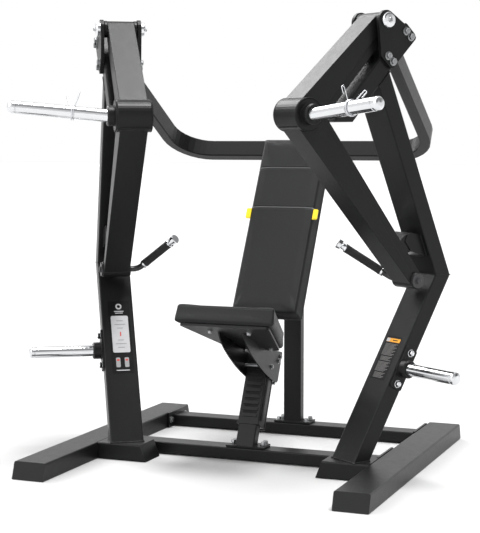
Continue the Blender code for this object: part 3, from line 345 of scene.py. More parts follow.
def leather():
    """Black vinyl cover: pebbled grain with painted shade in its hollows, soft creases, and painted shade
    darkening the sewn lines from the mesh's seam values.
    """
    surface = Surface("cover_finish", 0.46, specular=0.20)
    tone = surface.noise(7.0, 5.0)
    base = surface.mix(tone, (0.0122, 0.0124, 0.0129), (0.0170, 0.0173, 0.0179))
    grain = surface.range(surface.cells(620.0), 0.0, 0.22, 0.0, 1.0)
    # Painted shade: the hollows between the pebbles of the grain, the low parts of its bump, are painted darker.
    base = surface.mix(surface.range(grain, 0.0, 1.0, 0.45, 0.0), base, (0.012, 0.012, 0.013))
    seam = surface.node("ShaderNodeAttribute", attribute_name="seam").outputs["Fac"]
    # Painted shade: the cover is painted darker along the pressed sewn lines, by the seam value.
    surface.colour(surface.mix(seam, base, (0.006, 0.006, 0.0065)))
    surface.roughness(surface.range(tone, 0.3, 0.7, 0.40, 0.52))
    surface.bump(surface.noise(26.0, 4.0), 0.0012, 0.35)
    surface.bump(grain, 0.00025, 0.5)
    return surface.material


def moulded(name, colour, rough, texture=700.0, specular=0.4):
    """Moulded or printed plastic: even colour with a fine matt texture and faint marks."""
    surface = Surface(name, rough, specular=specular)
    marks = surface.noise(30.0, 5.0)
    surface.colour(surface.mix(marks, shade(colour, 0.88), shade(colour, 1.07)))
    surface.roughness(surface.range(marks, 0.3, 0.7, rough * 0.85, rough * 1.2))
    surface.bump(surface.noise(texture, 2.0), 0.0001, 0.4)
    return surface.material


FINISH = {
    "frame_paint": paint("frame_finish", (0.0062, 0.0063, 0.0066)),
    "arm_paint": paint("arm_finish", (0.0064, 0.0065, 0.0068)),
    "seat_paint": paint("seat_steel_finish", (0.0075, 0.0076, 0.0080)),
    "chrome": chrome(),
    "stem_steel": dark_steel(),
    "pin_steel": steel("zinc_finish", (0.30, 0.305, 0.31), 0.34),
    "spring_steel": steel("spring_finish", (0.66, 0.67, 0.69), 0.20),
    "grip_rubber": rubber("grip_finish", (0.016, 0.016, 0.017), 900.0),
    "bumper_rubber": rubber("bumper_finish", (0.013, 0.013, 0.013), 500.0),
    "upholstery": leather(),
    "board": moulded("board_finish", (0.022, 0.022, 0.024), 0.60, 350.0),
    "tab_yellow": moulded("tab_finish", (0.86, 0.66, 0.02), 0.48),
}
# Painted shadow: near-black finish for the lines and sheets laid where the machine lies in shade.
SHADOW_LINE = moulded("painted_shadow_finish", (0.003, 0.003, 0.003), 0.80)
WEB_THREAD = moulded("thread_finish", (0.050, 0.051, 0.053), 0.70)
# Painted highlight: the welt cord is the cover's vinyl, painted lighter than the cover.
WELT = moulded("welt_highlight_finish", (0.075, 0.076, 0.078), 0.42)
LABEL_DARK = moulded("label_dark_finish", (0.004, 0.004, 0.0045), 0.40, specular=0.15)
LABEL_WHITE = moulded("label_white_finish", (0.44, 0.44, 0.45), 0.40)
LABEL_GREY = moulded("label_grey_finish", (0.26, 0.26, 0.265), 0.45)
LABEL_DIM = moulded("label_dim_finish", (0.115, 0.110, 0.108), 0.45)
LABEL_RED = moulded("label_red_finish", (0.50, 0.045, 0.035), 0.45)
LABEL_ORANGE = moulded("label_orange_finish", (0.80, 0.34, 0.012), 0.45)


# ---------------------------------------------------------------- mesh building

def add_turned(bm, profile, steps, place):
    """Turn (radius, height) points about the Z axis of place; a radius of 0 closes an end."""
    rings = []
    for radius, height in profile:
        count = steps if radius > 0.0 else 1
        ring = []
        for k in range(count):
            angle = 2.0 * math.pi * k / steps
            point = Vector((radius * math.cos(angle), radius * math.sin(angle), height))
            ring.append(bm.verts.new(place @ point))
        rings.append(ring)
    for low, high in zip(rings, rings[1:]):
        for k in range(steps):
            n = k + 1
            quad = (low[k % len(low)], low[n % len(low)], high[n % len(high)], high[k % len(high)])
            corners = list(dict.fromkeys(quad))
            if len(corners) > 2:
                bm.faces.new(corners)


def add_slab(bm, outline, lo, hi, place):
    """A flat outline of (a, b) points, closed from height lo to hi."""
    bottom = [bm.verts.new(place @ Vector((a, b, lo))) for a, b in outline]
    top = [bm.verts.new(place @ Vector((a, b, hi))) for a, b in outline]
    bm.faces.new(bottom[::-1])
    bm.faces.new(top)
    for k in range(len(outline)):
        n = (k + 1) % len(outline)
        bm.faces.new((bottom[k], bottom[n], top[n], top[k]))


def rounded_rectangle(half_wide, low, high, radius, steps=4):
    """Outline of a rectangle from low to high with rounded corners."""
    corners = [(half_wide, high, 0.0), (-half_wide, high, 90.0)]
    corners += [(-half_wide, low, 180.0), (half_wide, low, 270.0)]
    points = []
    for a, b, start in corners:
        centre = (a - math.copysign(radius, a), b + (radius if b == low else -radius))
        for k in range(steps + 1):
            angle = math.radians(start + 90.0 * k / steps)
            points.append((centre[0] + radius * math.cos(angle), centre[1] + radius * math.sin(angle)))
    return points


def moved(outline, a, b):
    return [(x + a, y + b) for x, y in outline]


def spaced(points, step):
    """The same path with a point every step or so."""
    path = []
    for start, end in zip(points, points[1:]):
        start = Vector(start)
        run = Vector(end) - start
        count = max(1, round(run.length / step))
        path += [start + run * (k / count) for k in range(count)]
    return path + [Vector(points[-1])]


def add_tube(bm, path, radii, sides, closed=False):
    """A round tube along a path, with a radius at each point."""
    count = len(path)
    rings = []
    guide = None
    for k, point in enumerate(path):
        before = path[k - 1] if k > 0 or closed else path[k]
        after = path[(k + 1) % count] if k < count - 1 or closed else path[k]
        along = (after - before).normalized()
        if guide is None:
            guide = along.orthogonal().normalized()
        guide = (guide - along * guide.dot(along)).normalized()
        other = along.cross(guide)
        ring = []
        for j in range(sides):
            angle = 2.0 * math.pi * j / sides
            ring.append(bm.verts.new(point + (guide * math.cos(angle) + other * math.sin(angle)) * radii[k]))
        rings.append(ring)
    pairs = list(zip(rings, rings[1:]))
    if closed:
        pairs.append((rings[-1], rings[0]))
    for low, high in pairs:
        for j in range(sides):
            n = (j + 1) % sides
            bm.faces.new((low[j], low[n], high[n], high[j]))
    if not closed:
        bm.faces.new(rings[0][::-1])
        bm.faces.new(rings[-1])


def add_bead(bm, points, radius, closed=False):
    """A weld bead: a tube that swells and narrows with each pass of the torch."""
    if closed:
        points = list(points) + [points[0]]
    path = spaced(points, BEAD_PITCH / 3.0)
    if closed:
        path = path[:-1]
    dice = random.Random(len(path))
    radii = []
    for k in range(len(path)):
        ripple = 1.0 + 0.16 * math.sin(2.0 * math.pi * k / 3.0) + 0.06 * (dice.random() - 0.5)
        radii.append(radius * ripple)
    add_tube(bm, path, radii, 7, closed)


def add_hex_bolt(bm, place, radius, height):
    """A flanged hexagon head: washer, six flats with chamfered corners, and a dished top."""
    flange = radius * 1.32
    rim = height * 0.24
    washer = [(0.0, 0.0), (flange, 0.0), (flange, rim * 0.6), (radius * 1.02, rim), (0.0, rim)]
    add_turned(bm, washer, 24, place)
    head = [(0.0, rim * 0.5), (radius, rim * 0.5), (radius, height * 0.86)]
    head += [(radius * 0.86, height), (radius * 0.52, height)]
    head += [(radius * 0.46, height * 0.93), (0.0, height * 0.93)]
    add_turned(bm, head, 6, place)


def make_piece(name, bm, material, body):
    """Turn a bmesh into a piece that rides on a body."""
    bmesh.ops.recalc_face_normals(bm, faces=bm.faces)
    mesh = bpy.data.meshes.new(name)
    bm.to_mesh(mesh)
    bm.free()
    mesh.materials.append(material)
    mesh.shade_smooth()
    mesh.set_sharp_from_angle(angle=SHARP_ANGLE)
    obj = bpy.data.objects.new(name, mesh)
    bpy.context.scene.collection.objects.link(obj)
    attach(obj, body)
    return obj


def make_single(name, build, finish):
    """One piece on the middle of the machine; build(bm) draws it in world axes."""
    bm = bmesh.new()
    build(bm)
    slot = finish if isinstance(finish, str) else None
    return make_piece(name, bm, FINISH[finish] if slot else finish, "frame")


def make_pair(stem, build, finish, body="frame", local=True):
    """A right-hand piece and its mirror image; build(bm) draws it in the right side frame or the world."""
    pair = []
    for side in ("right", "left"):
        bm = bmesh.new()
        build(bm)
        place = SIDE if local else WORLD
        if side == "left":
            place = MIRROR @ place
        bmesh.ops.transform(bm, matrix=place, verts=bm.verts)
        rides = body if body in ("frame", "seat") else f"{body}_{side}"
        slot = finish if isinstance(finish, str) else None
        material = FINISH[finish] if slot else finish
        pair.append(make_piece(f"{stem}_{side}", bm, material, rides))
    return pair


# ---------------------------------------------------------------- bolts

def clevis_bolts(bm):
    for z in (1.4070, 1.4910):
        s = line_at(z, HEAD, HEAD_LEAN) + 0.005
        for step in (-0.0135, 0.0135):
            at = (s + step * math.cos(HEAD_LEAN), z + step * math.sin(HEAD_LEAN))
            for sign in (-1.0, 1.0):
                place = facing((at[0], sign * CLEVIS_OUT, at[1]), (0.0, sign, 0.0))
                add_hex_bolt(bm, place, 0.0109, 0.0110)


def rack_bolts(bm):
    for step in (-0.058, 0.058):
        origin = (RACK[0] - math.sin(LOWER_LEAN) * step, RACK_FACE, RACK[1] + math.cos(LOWER_LEAN) * step)
        add_hex_bolt(bm, facing(origin, Y_AXIS), 0.0100, 0.0110)


def pivot_nuts(bm):
    """A screw head in the middle of each chromed pivot cap."""
    for sign in (-1.0, 1.0):
        place = facing((PIVOT_S, sign * (PIN_END + 0.0012), PIVOT_Z), (0.0, sign, 0.0))
        add_hex_bolt(bm, place, 0.0070, 0.0062)


def handle_bolts(bm):
    place = facing((SLEEVE[0], SLEEVE_BOLT_T, SLEEVE[1]), Y_AXIS)
    add_hex_bolt(bm, place, 0.0112, 0.0070)


def flange_bolts(bm):
    for rows in FLANGE_BOLTS:
        for y in rows:
            add_hex_bolt(bm, facing((FLANGE_X, y, 0.031), -X_AXIS), 0.0102, 0.0085)


def deck_bolts(bm):
    places = [(0.056, 0.4485, BACK_DECK_Z), (0.056, 0.4965, BACK_DECK_Z)]
    places += [(0.057, -0.022, SEAT_DECK_Z), (0.057, 0.002, SEAT_DECK_Z)]
    for x, y, z in places:
        add_hex_bolt(bm, facing((x, y, z), Z_AXIS), 0.0090, 0.0125)


def seat_bolts(bm):
    """Screws up into the seat board, and the pins' heads and stop screws on the side plates."""
    for x, back in ((0.072, 0.075), (0.072, 0.302)):
        origin = SEAT @ Vector((x, back, -0.0086))
        axis = (SEAT.to_3x3() @ -Z_AXIS)
        add_hex_bolt(bm, facing(origin, axis), 0.0078, 0.0100)
    for y, z, radius in ((0.157, 0.332, 0.0080), (0.084, 0.322, 0.0074), (0.176, 0.345, 0.0060)):
        add_hex_bolt(bm, facing((0.0487, y, z), X_AXIS), radius, 0.0065)
    add_hex_bolt(bm, facing((0.0433, 0.051, 0.382), -X_AXIS), 0.0060, 0.0050)


def carrier_bolts(bm):
    """Screws through the carrier strip into the back board."""
    for x in (-0.020, 0.020):
        for along in (0.240, 0.420, 0.560, 0.680):
            origin = PAD @ Vector((x, 0.0745, along))
            add_hex_bolt(bm, facing(origin, PAD.to_3x3() @ Y_AXIS), 0.0062, 0.0052)


def make_bolts():
    make_pair("clevis_bolts", clevis_bolts, "pin_steel")
    make_pair("rack_bolts", rack_bolts, "spring_steel")
    make_pair("pivot_nuts", pivot_nuts, "pin_steel")
    make_pair("handle_bolts", handle_bolts, "stem_steel", "handle")
    make_pair("flange_bolts", flange_bolts, "pin_steel", local=False)
    make_pair("deck_bolts", deck_bolts, "pin_steel", local=False)
    make_pair("seat_bolts", seat_bolts, "pin_steel", "seat", local=False)
    make_single("carrier_bolts", carrier_bolts, "pin_steel")


# ---------------------------------------------------------------- welds and painted shadow lines at joints

def section_loop(front, rear):
    """The four corners of a tube cut through (s, z) points at its front and rear."""
    half = TUBE_HALF
    return [Vector((front[0], -half, front[1])), Vector((front[0], half, front[1])),
            Vector((rear[0], half, rear[1])), Vector((rear[0], -half, rear[1]))]


def post_welds(bm):
    """Beads round the foot of the post, its knee, and its joint with the head tube."""
    lower = math.pi / 2.0 + LOWER_LEAN
    upper = math.pi / 2.0 - UPPER_LEAN
    low_rear = (KNEE[0] - TUBE_DEPTH * math.cos(LOWER_LEAN), KNEE[1] - TUBE_DEPTH * math.sin(LOWER_LEAN))
    high_rear = (KNEE[0] - TUBE_DEPTH * math.cos(UPPER_LEAN), KNEE[1] + TUBE_DEPTH * math.sin(UPPER_LEAN))
    floor = (0.0, 0.0612)
    foot = section_loop(meet(KNEE, lower, floor, 0.0), meet(low_rear, lower, floor, 0.0))
    add_bead(bm, foot, 0.0026, closed=True)
    add_bead(bm, section_loop(KNEE, meet(low_rear, lower, high_rear, upper)), 0.0016, closed=True)
    head = math.pi / 2.0 + HEAD_LEAN
    rear = (HEAD[0] - TUBE_DEPTH / 2.0 / math.cos(HEAD_LEAN), HEAD[1])
    top = section_loop(meet(KNEE, upper, rear, head), meet(high_rear, upper, rear, head))
    add_bead(bm, top, 0.0024, closed=True)


def bracket_welds(bm):
    """Beads where the stop bracket meets the post, and round the storage boss."""
    upper = math.pi / 2.0 - UPPER_LEAN
    top = meet(KNEE, upper, (0.0, 0.816), 0.0)
    bottom = meet(KNEE, upper, (0.0, 0.738), 0.0)
    for sign in (-1.0, 1.0):
        t = sign * 0.0405
        add_bead(bm, [Vector((bottom[0], t, bottom[1])), Vector((top[0], t, top[1]))], 0.0024)
    add_bead(bm, ring_points(RACK, 0.0315, RACK_FACE + 0.0006, 60), 0.0024, closed=True)


def ring_points(centre, radius, t, count):
    """Points round a circle that faces along t."""
    points = []
    for k in range(count):
        angle = 2.0 * math.pi * k / count
        points.append(Vector((centre[0] + radius * math.cos(angle), t, centre[1] + radius * math.sin(angle))))
    return points


def arm_welds(bm):
    """Beads between the lower arm and its cross sleeve, and round the horn's boss."""
    for turn in (22.0, 168.0):
        angle = math.radians(turn)
        reach = SLEEVE_RADIUS + 0.0008
        s = SLEEVE[0] + reach * math.cos(angle)
        z = SLEEVE[1] + reach * math.sin(angle)
        add_bead(bm, [Vector((s, -ARM_HALF + 0.002, z)), Vector((s, ARM_HALF - 0.002, z))], 0.0022)
    add_bead(bm, ring_points(ELBOW, BOSS_RADIUS + 0.0004, ELBOW_HALF + 0.0002, 64), 0.0012, closed=True)


def base_welds(bm):
    """Beads round the feet of the two middle posts and the ends of the cross tubes."""
    for half, y0, y1, z in ((0.035, 0.4415, 0.4815, BACK_DECK_Z), (0.035, -0.0630, -0.0185, SEAT_DECK_Z)):
        loop = [Vector((-half, y0, z)), Vector((half, y0, z)), Vector((half, y1, z)), Vector((-half, y1, z))]
        add_bead(bm, loop, 0.0024, closed=True)
    for y in CROSS_Y:
        for sign in (-1.0, 1.0):
            x = sign * (FLANGE_X - 0.0006)
            loop = [Vector((x, y - 0.040, 0.006)), Vector((x, y - 0.040, 0.046))]
            loop += [Vector((x, y + 0.040, 0.046)), Vector((x, y + 0.040, 0.006))]
            add_bead(bm, loop, 0.0024)


def elbow_shadow_lines(bm):
    """Painted shadow: dark lines where the arm tubes run on to the elbow sleeve, and a dark ring in the turned
    groove in its ends.
    """
    reach = ELBOW_RADIUS + 0.0003
    for turn in (106.0, 314.0):
        angle = math.radians(turn)
        s = ELBOW[0] + reach * math.cos(angle)
        z = ELBOW[1] + reach * math.sin(angle)
        path = spaced([Vector((s, -ARM_HALF, z)), Vector((s, ARM_HALF, z))], 0.012)
        add_tube(bm, path, [0.0019] * len(path), 8)
    for sign in (-1.0, 1.0):
        path = ring_points(ELBOW, ELBOW_RADIUS - 0.0022, sign * (ELBOW_HALF - 0.0018), 56)
        add_tube(bm, path, [0.0024] * len(path), 6, closed=True)


def make_welds():
    make_pair("post_welds", post_welds, "frame_paint")
    make_pair("bracket_welds", bracket_welds, "frame_paint")
    make_pair("arm_welds", arm_welds, "arm_paint", "arm")
    make_single("base_welds", base_welds, "frame_paint")
    make_pair("elbow_shadow_lines", elbow_shadow_lines, SHADOW_LINE, "arm")


# ---------------------------------------------------------------- small fittings

def head_plugs(bm):
    """Ribbed plastic plug in the open top end of the head tube."""
    s = line_at(HEAD_TOP_Z, HEAD, HEAD_LEAN)
    up = Vector((-math.sin(HEAD_LEAN), 0.0, math.cos(HEAD_LEAN)))
    across = Vector((math.cos(HEAD_LEAN), 0.0, math.sin(HEAD_LEAN)))
    place = Matrix.Translation((s, 0.0, HEAD_TOP_Z)) @ Matrix((Y_AXIS, across, up)).transposed().to_4x4()
    add_slab(bm, rounded_rectangle(TUBE_HALF - 0.003, -0.027, 0.027, 0.006), 0.0002, 0.0030, place)
    add_slab(bm, rounded_rectangle(TUBE_HALF - 0.009, -0.021, 0.021, 0.004), 0.0025, 0.0042, place)


def grip_sleeves(bm):
    """Rubber grip with raised end collars and rings of ribs."""
    bend = Vector((SLEEVE[0], GRIP_BEND_T, SLEEVE[1]))
    place = facing(bend, GRIP_DIR)
    start = GRIP_START
    end = GRIP_END
    profile = [(STEM_RADIUS, start), (GRIP_LIP, start)]
    profile += [(GRIP_LIP, start + 0.006), (GRIP_OUTER, start + 0.0072)]
    first = start + 0.012
    pitch = (end - 0.012 - first) / GRIP_RIBS
    for k in range(GRIP_RIBS):
        at = first + pitch * k
        profile += [(GRIP_OUTER - 0.0004, at), (GRIP_OUTER, at + pitch * 0.3)]
        profile.append((GRIP_OUTER, at + pitch * 0.75))
    profile += [(GRIP_OUTER, end - 0.0072), (GRIP_LIP, end - 0.006), (GRIP_LIP, end)]
    profile += [(STEM_RADIUS, end), (STEM_RADIUS, start)]
    add_turned(bm, profile, 32, place)


def collar_spring(bm, side):
    """Wire collar: a close coil round the horn whose ends turn up as finger loops."""
    axis = Vector((0.0, math.cos(HORN_TILT), math.sin(HORN_TILT)))
    up = (Z_AXIS - axis * Z_AXIS.dot(axis)).normalized()
    across = axis.cross(up)
    wire = 0.0020
    radius = HORN_RADIUS + wire + 0.0006
    origin = Vector((ELBOW[0] + 0.004, 0.0, ELBOW[1] - BOSS_END * math.tan(HORN_TILT)))
    centre = origin + axis * COLLAR_AT[side]
    steps = 120
    coil = []
    for k in range(steps + 1):
        angle = math.radians(77.0 + 766.0 * k / steps)
        offset = axis * (k / steps - 0.5) * 0.0125
        coil.append(centre + offset + (across * math.cos(angle) + up * math.sin(angle)) * radius)
    loops = []
    for start, lean, outside in ((coil[0], 5.0, -axis), (coil[-1], -43.0, axis)):
        lean = math.radians(lean)
        loops.append(finger_loop(start, up * math.cos(lean) + across * math.sin(lean), outside))
    path = loops[0][::-1] + coil + loops[1]
    add_tube(bm, path, [wire] * len(path), 10)


def finger_loop(start, upright, outside):
    """Up from the coil, round a half circle, and back down beside itself."""
    tall = (upright + outside * 0.24).normalized()
    side = tall.cross(outside).normalized()
    bend = 0.0050
    height = 0.034
    root = start + tall * 0.008
    points = [start + tall * 0.003, root]
    points += [root + tall * (height * k / 4.0) for k in range(1, 5)]
    for k in range(1, 12):
        angle = math.pi * k / 12.0
        along = root + tall * (height + bend * math.sin(angle))
        points.append(along + side * (bend * (1.0 - math.cos(angle))))
    points += [root + tall * height + side * bend * 2.0, root + tall * 0.014 + side * bend * 2.0]
    return points


def ladder_gap_shadows(bm):
    """Painted shadow: a dark sheet in the gap down each side of the ladder, between its face and the tube behind.
    """
    for side in (-1.0, 1.0):
        low = LADDER_START + 0.018
        corners = [(0.010, low), (0.024, low), (0.024, LADDER_TOP), (0.010, LADDER_TOP)]
        place = POST @ Matrix(((0, 0, side, 0), (1, 0, 0, 0), (0, 1, 0, 0), (0, 0, 0, 1)))
        add_slab(bm, corners, 0.0420, 0.0429, place)


def make_collars():
    """The two collars stand at different places on their horns, so each is drawn on its own."""
    for side in ("right", "left"):
        bm = bmesh.new()
        collar_spring(bm, side)
        place = SIDE if side == "right" else MIRROR @ SIDE
        bmesh.ops.transform(bm, matrix=place, verts=bm.verts)
        finish = FINISH["spring_steel"]
        spring = make_piece(f"collar_springs_{side}", bm, finish, f"spring_collar_{side}")
        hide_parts(f"collar_{side}")


def grip_rings(bm):
    """Chromed ring between the handle's stem and its rubber grip."""
    place = facing(Vector((SLEEVE[0], GRIP_BEND_T, SLEEVE[1])), GRIP_DIR)
    profile = [(STEM_RADIUS, 0.0385), (0.0140, 0.0385), (0.0156, 0.0400), (0.0156, 0.0456), (0.0148, 0.0468)]
    profile += [(STEM_RADIUS, 0.0468), (STEM_RADIUS, 0.0385)]
    add_turned(bm, profile, 32, place)


def pad_tabs(bm):
    """Thin yellow tab that stands out from each side of the back cushion, flush with its front."""
    place = PAD @ Matrix(((1, 0, 0, 0), (0, 0, 1, 0), (0, 1, 0, 0), (0, 0, 0, 1)))
    inner = PAD_HALF_FRONT - 0.0040
    outer = PAD_HALF_FRONT + 0.0145
    low = TAB_CENTRE - 0.0205
    high = TAB_CENTRE + 0.0205
    outline = [(inner, low), (outer - 0.003, low), (outer, low + 0.003), (outer, high - 0.003)]
    outline += [(outer - 0.003, high), (inner, high)]
    add_slab(bm, outline, 0.0030, 0.0075, place)
    raised = [(PAD_HALF_FRONT, low + 0.004), (outer - 0.004, low + 0.004), (outer - 0.004, high - 0.004)]
    raised.append((PAD_HALF_FRONT, high - 0.004))
    add_slab(bm, raised, 0.0022, 0.0034, place)


def ladder_slot_shadows(bm):
    """Painted shadow: dark sheets on the face where the slots between the rungs of the seat's ladder lie in shade.
    """
    place = POST @ Matrix(((1, 0, 0, 0), (0, 0, 1, 0), (0, 1, 0, 0), (0, 0, 0, 1)))
    for k in range(RUNG_COUNT - 1):
        low = LADDER_START + 0.0415 + RUNG_PITCH * k
        add_slab(bm, rounded_rectangle(0.0265, low, low + 0.0100, 0.0034), -0.0004, 0.0006, place)


def make_fittings():
    make_pair("head_plugs", head_plugs, "board")
    grips = make_pair("grip_sleeves", grip_sleeves, "grip_rubber", "handle")
    for side, grip in zip(("right", "left"), grips):
        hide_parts(f"grip_{side}")
    make_collars()
    make_pair("grip_rings", grip_rings, "chrome", "handle")
    tabs = make_pair("pad_tabs", pad_tabs, "tab_yellow", local=False)
    for side, tab in zip(("right", "left"), tabs):
        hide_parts(f"pad_tab_{side}")
    make_single("ladder_slot_shadows", ladder_slot_shadows, SHADOW_LINE)
    make_single("ladder_gap_shadows", ladder_gap_shadows, SHADOW_LINE)


# ---------------------------------------------------------------- placards

def post_face():
    """The lower post's front face: x across it, y up it, z out of it, from its foot."""
    up = Vector((-math.sin(LOWER_LEAN), 0.0, math.cos(LOWER_LEAN)))
    out = Vector((math.cos(LOWER_LEAN), 0.0, math.sin(LOWER_LEAN)))
    axes = Matrix((Y_AXIS, up, out)).transposed().to_4x4()
    return SIDE @ Matrix.Translation((KNEE[0], 0.0, KNEE[1])) @ axes


def along_face(z):
    """How far up the face, from the knee, a height above the floor lies."""
    return (z - KNEE[1]) / math.cos(LOWER_LEAN)


def make_label(name, outlines, material, level, place):
    """Thin printed shapes on the face, at a level above it."""
    bm = bmesh.new()
    for outline in outlines:
        add_slab(bm, outline, level, level + PRINT_THICK, place)
    make_piece(name, bm, material, "frame")


def bars(rows, half, centre):
    """Generic lines of print: a bar for each (middle height, share of the width)."""
    outlines = []
    for y, share in rows:
        bar = rounded_rectangle(half * share, y - 0.0016, y + 0.0016, 0.0008, 2)
        outlines.append(moved(bar, centre, 0.0))
    return outlines


def left_placard():
    """Dark placard with a ring mark, a white panel of plain strokes, two blocks and plain bars."""
    place = MIRROR @ post_face()
    centre = -0.0056
    low = along_face(PLACARD_Z[0])
    high = along_face(PLACARD_Z[1])
    tall = high - low
    half = 0.040
    back = moved(rounded_rectangle(half, low, high, 0.004), centre, 0.0)
    make_label("placard_back", [back], LABEL_DARK, LAYER_BASE, place)
    panel_low = low + tall * 0.285
    panel_high = low + tall * 0.795
    panel = moved(rounded_rectangle(half * 0.80, panel_low, panel_high, 0.006), centre, 0.0)
    make_label("placard_panel", [panel], LABEL_WHITE, LAYER_PANEL, place)
    ring = moved(rounded_rectangle(0.0115, high - 0.033, high - 0.010, 0.0114, 6), centre, 0.0)
    make_label("placard_mark", [ring], LABEL_WHITE, LAYER_PANEL, place)
    inner = moved(rounded_rectangle(0.0060, high - 0.0275, high - 0.0155, 0.0059, 6), centre, 0.0)
    make_label("placard_mark_centre", [inner], LABEL_DARK, LAYER_SPOT, place)
    rows = [(high - 0.041, 0.45), (high - 0.048, 0.36)]
    lower_rows = [(low + 0.012, 0.62)]
    make_label("placard_bars", bars(rows + lower_rows, half, centre), LABEL_WHITE, LAYER_BARS, place)
    blocks = []
    for shift in (-0.016, 0.016):
        blocks.append(moved(rounded_rectangle(0.0080, low + 0.024, low + 0.062, 0.004), centre + shift, 0.0))
    make_label("placard_blocks", blocks, LABEL_GREY, LAYER_BARS, place)
    spot = rounded_rectangle(0.0052, low + 0.049, low + 0.056, 0.003)
    spots = [moved(spot, centre + shift, 0.0) for shift in (-0.016, 0.016)]
    make_label("placard_spots", spots, LABEL_RED, LAYER_TOP, place)
    step = (panel_high - panel_low) / 8.0
    marks = []
    for k, share in ((1.1, 0.40), (1.9, 0.62), (2.7, 0.34), (5.3, 0.34), (6.1, 0.62), (6.9, 0.40)):
        marks.append((panel_low + step * k, share))
    make_label("placard_strokes", bars(marks, half * 0.8, centre), LABEL_GREY, LAYER_TOP, place)
    middle = (panel_low + panel_high) / 2.0
    dash = moved(rounded_rectangle(0.0022, middle - 0.0085, middle + 0.0085, 0.0015), centre, 0.0)
    make_label("placard_dash", [dash], LABEL_RED, LAYER_TOP, place)


def right_notice():
    """Small notice with a coloured header strip and plain grey bars."""
    place = post_face()
    centre = -0.006
    low = along_face(NOTICE_Z[0])
    high = along_face(NOTICE_Z[1])
    half = 0.038
    back = moved(rounded_rectangle(half, low, high, 0.003), centre, 0.0)
    make_label("notice_back", [back], LABEL_DARK, LAYER_BASE, place)
    strip = moved(rounded_rectangle(half * 0.90, high - 0.0225, high - 0.0085, 0.002), centre, 0.0)
    make_label("notice_strip", [strip], LABEL_ORANGE, LAYER_PANEL, place)
    corner = rounded_rectangle(half * 0.22, high - 0.0218, high - 0.0092, 0.002)
    corner = moved(corner, centre - half * 0.68, 0.0)
    make_label("notice_corner", [corner], LABEL_WHITE, LAYER_SPOT, place)
    gap = rounded_rectangle(half * 0.34, high - 0.0172, high - 0.0138, 0.001)
    gap = moved(gap, centre + half * 0.26, 0.0)
    make_label("notice_strip_mark", [gap], LABEL_DARK, LAYER_SPOT, place)
    outlines = []
    y = high - 0.030
    for count, share in ((11, 0.84), (4, 0.74), (9, 0.80), (5, 0.70)):
        for k in range(count):
            wide = half * share * (1.0 - 0.12 * (k % 3))
            line = rounded_rectangle(wide, y - 0.0011, y + 0.0011, 0.0006, 1)
            outlines.append(moved(line, centre - half * share + wide, 0.0))
            y -= 0.0041
        y -= 0.0035
    make_label("notice_bars", outlines, LABEL_DIM, LAYER_PANEL, place)


# ---------------------------------------------------------------- cushions

def modifier_result(obj):
    """Put an object's modifiers into its mesh."""
    graph = bpy.context.evaluated_depsgraph_get()
    mesh = bpy.data.meshes.new_from_object(obj.evaluated_get(graph))
    obj.modifiers.clear()
    obj.data = mesh


def cushion_blank(name, node, place, voxel, shrink):
    """A fine even mesh of a CAD cushion, drawn in at all sides, in the cushion's own axes."""
    mesh = frame["nodes"][node].data.copy()
    mesh.transform(place.inverted())
    obj = bpy.data.objects.new(name, mesh)
    bpy.context.scene.collection.objects.link(obj)
    high = [max(v.co[k] for v in mesh.vertices) for k in range(3)]
    low = [min(v.co[k] for v in mesh.vertices) for k in range(3)]
    size = [high[k] - low[k] for k in range(3)]
    middle = [(high[k] + low[k]) / 2.0 for k in range(3)]
    for vert in mesh.vertices:
        for k in range(3):
            vert.co[k] = middle[k] + (vert.co[k] - middle[k]) * (1.0 - 2.0 * shrink / size[k])
    weld = obj.modifiers.new("weld", "WELD")
    weld.merge_threshold = 0.00001
    remesh = obj.modifiers.new("grid", "REMESH")
    remesh.mode = "VOXEL"
    remesh.voxel_size = voxel
    modifier_result(obj)
    return obj


def swell(obj, held):
    """Blow the cover up a little with cloth pressure; held(point) picks the side that lies on its board."""
    rest = [vert.co.copy() for vert in obj.data.vertices]
    group = obj.vertex_groups.new(name="held")
    group.add([k for k, point in enumerate(rest) if held(point)], 1.0, "REPLACE")
    cloth = obj.modifiers.new("cover", "CLOTH")
    cloth.settings.use_pressure = True
    cloth.settings.uniform_pressure_force = PUFF_PRESSURE
    cloth.settings.effector_weights.gravity = 0.0
    cloth.settings.vertex_group_mass = "held"
    cloth.settings.quality = CLOTH_QUALITY
    for step in range(1, CLOTH_STEPS + 1):
        bpy.context.scene.frame_set(step)
    modifier_result(obj)
    bpy.context.scene.frame_set(1)
    for vert, start in zip(obj.data.vertices, rest):
        move = vert.co - start
        if move.length > PUFF_LIMIT:
            vert.co = start + move * (PUFF_LIMIT / move.length)


def refine(obj):
    """Smooth the voxel steps away and add one subdivision."""
    smooth = obj.modifiers.new("smooth", "SMOOTH")
    smooth.factor = 0.5
    smooth.iterations = 3
    finer = obj.modifiers.new("finer", "SUBSURF")
    finer.levels = 1
    finer.render_levels = 1
    modifier_result(obj)


def sew(obj, lines, width, depth):
    """Press sewn lines into the cover; each is (distance(point), direction to press in)."""
    # The seam value kept here is the mask for the painted shade along the pressed lines.
    seam = obj.data.attributes.new("seam", "FLOAT", "POINT")
    for index, vert in enumerate(obj.data.vertices):
        strongest = 0.0
        for distance, inward in lines:
            amount = math.exp(-((distance(vert.co) / width) ** 2))
            if amount > 0.02:
                strongest = max(strongest, amount)
                vert.co = vert.co + inward * (depth * amount)
        seam.data[index].value = strongest


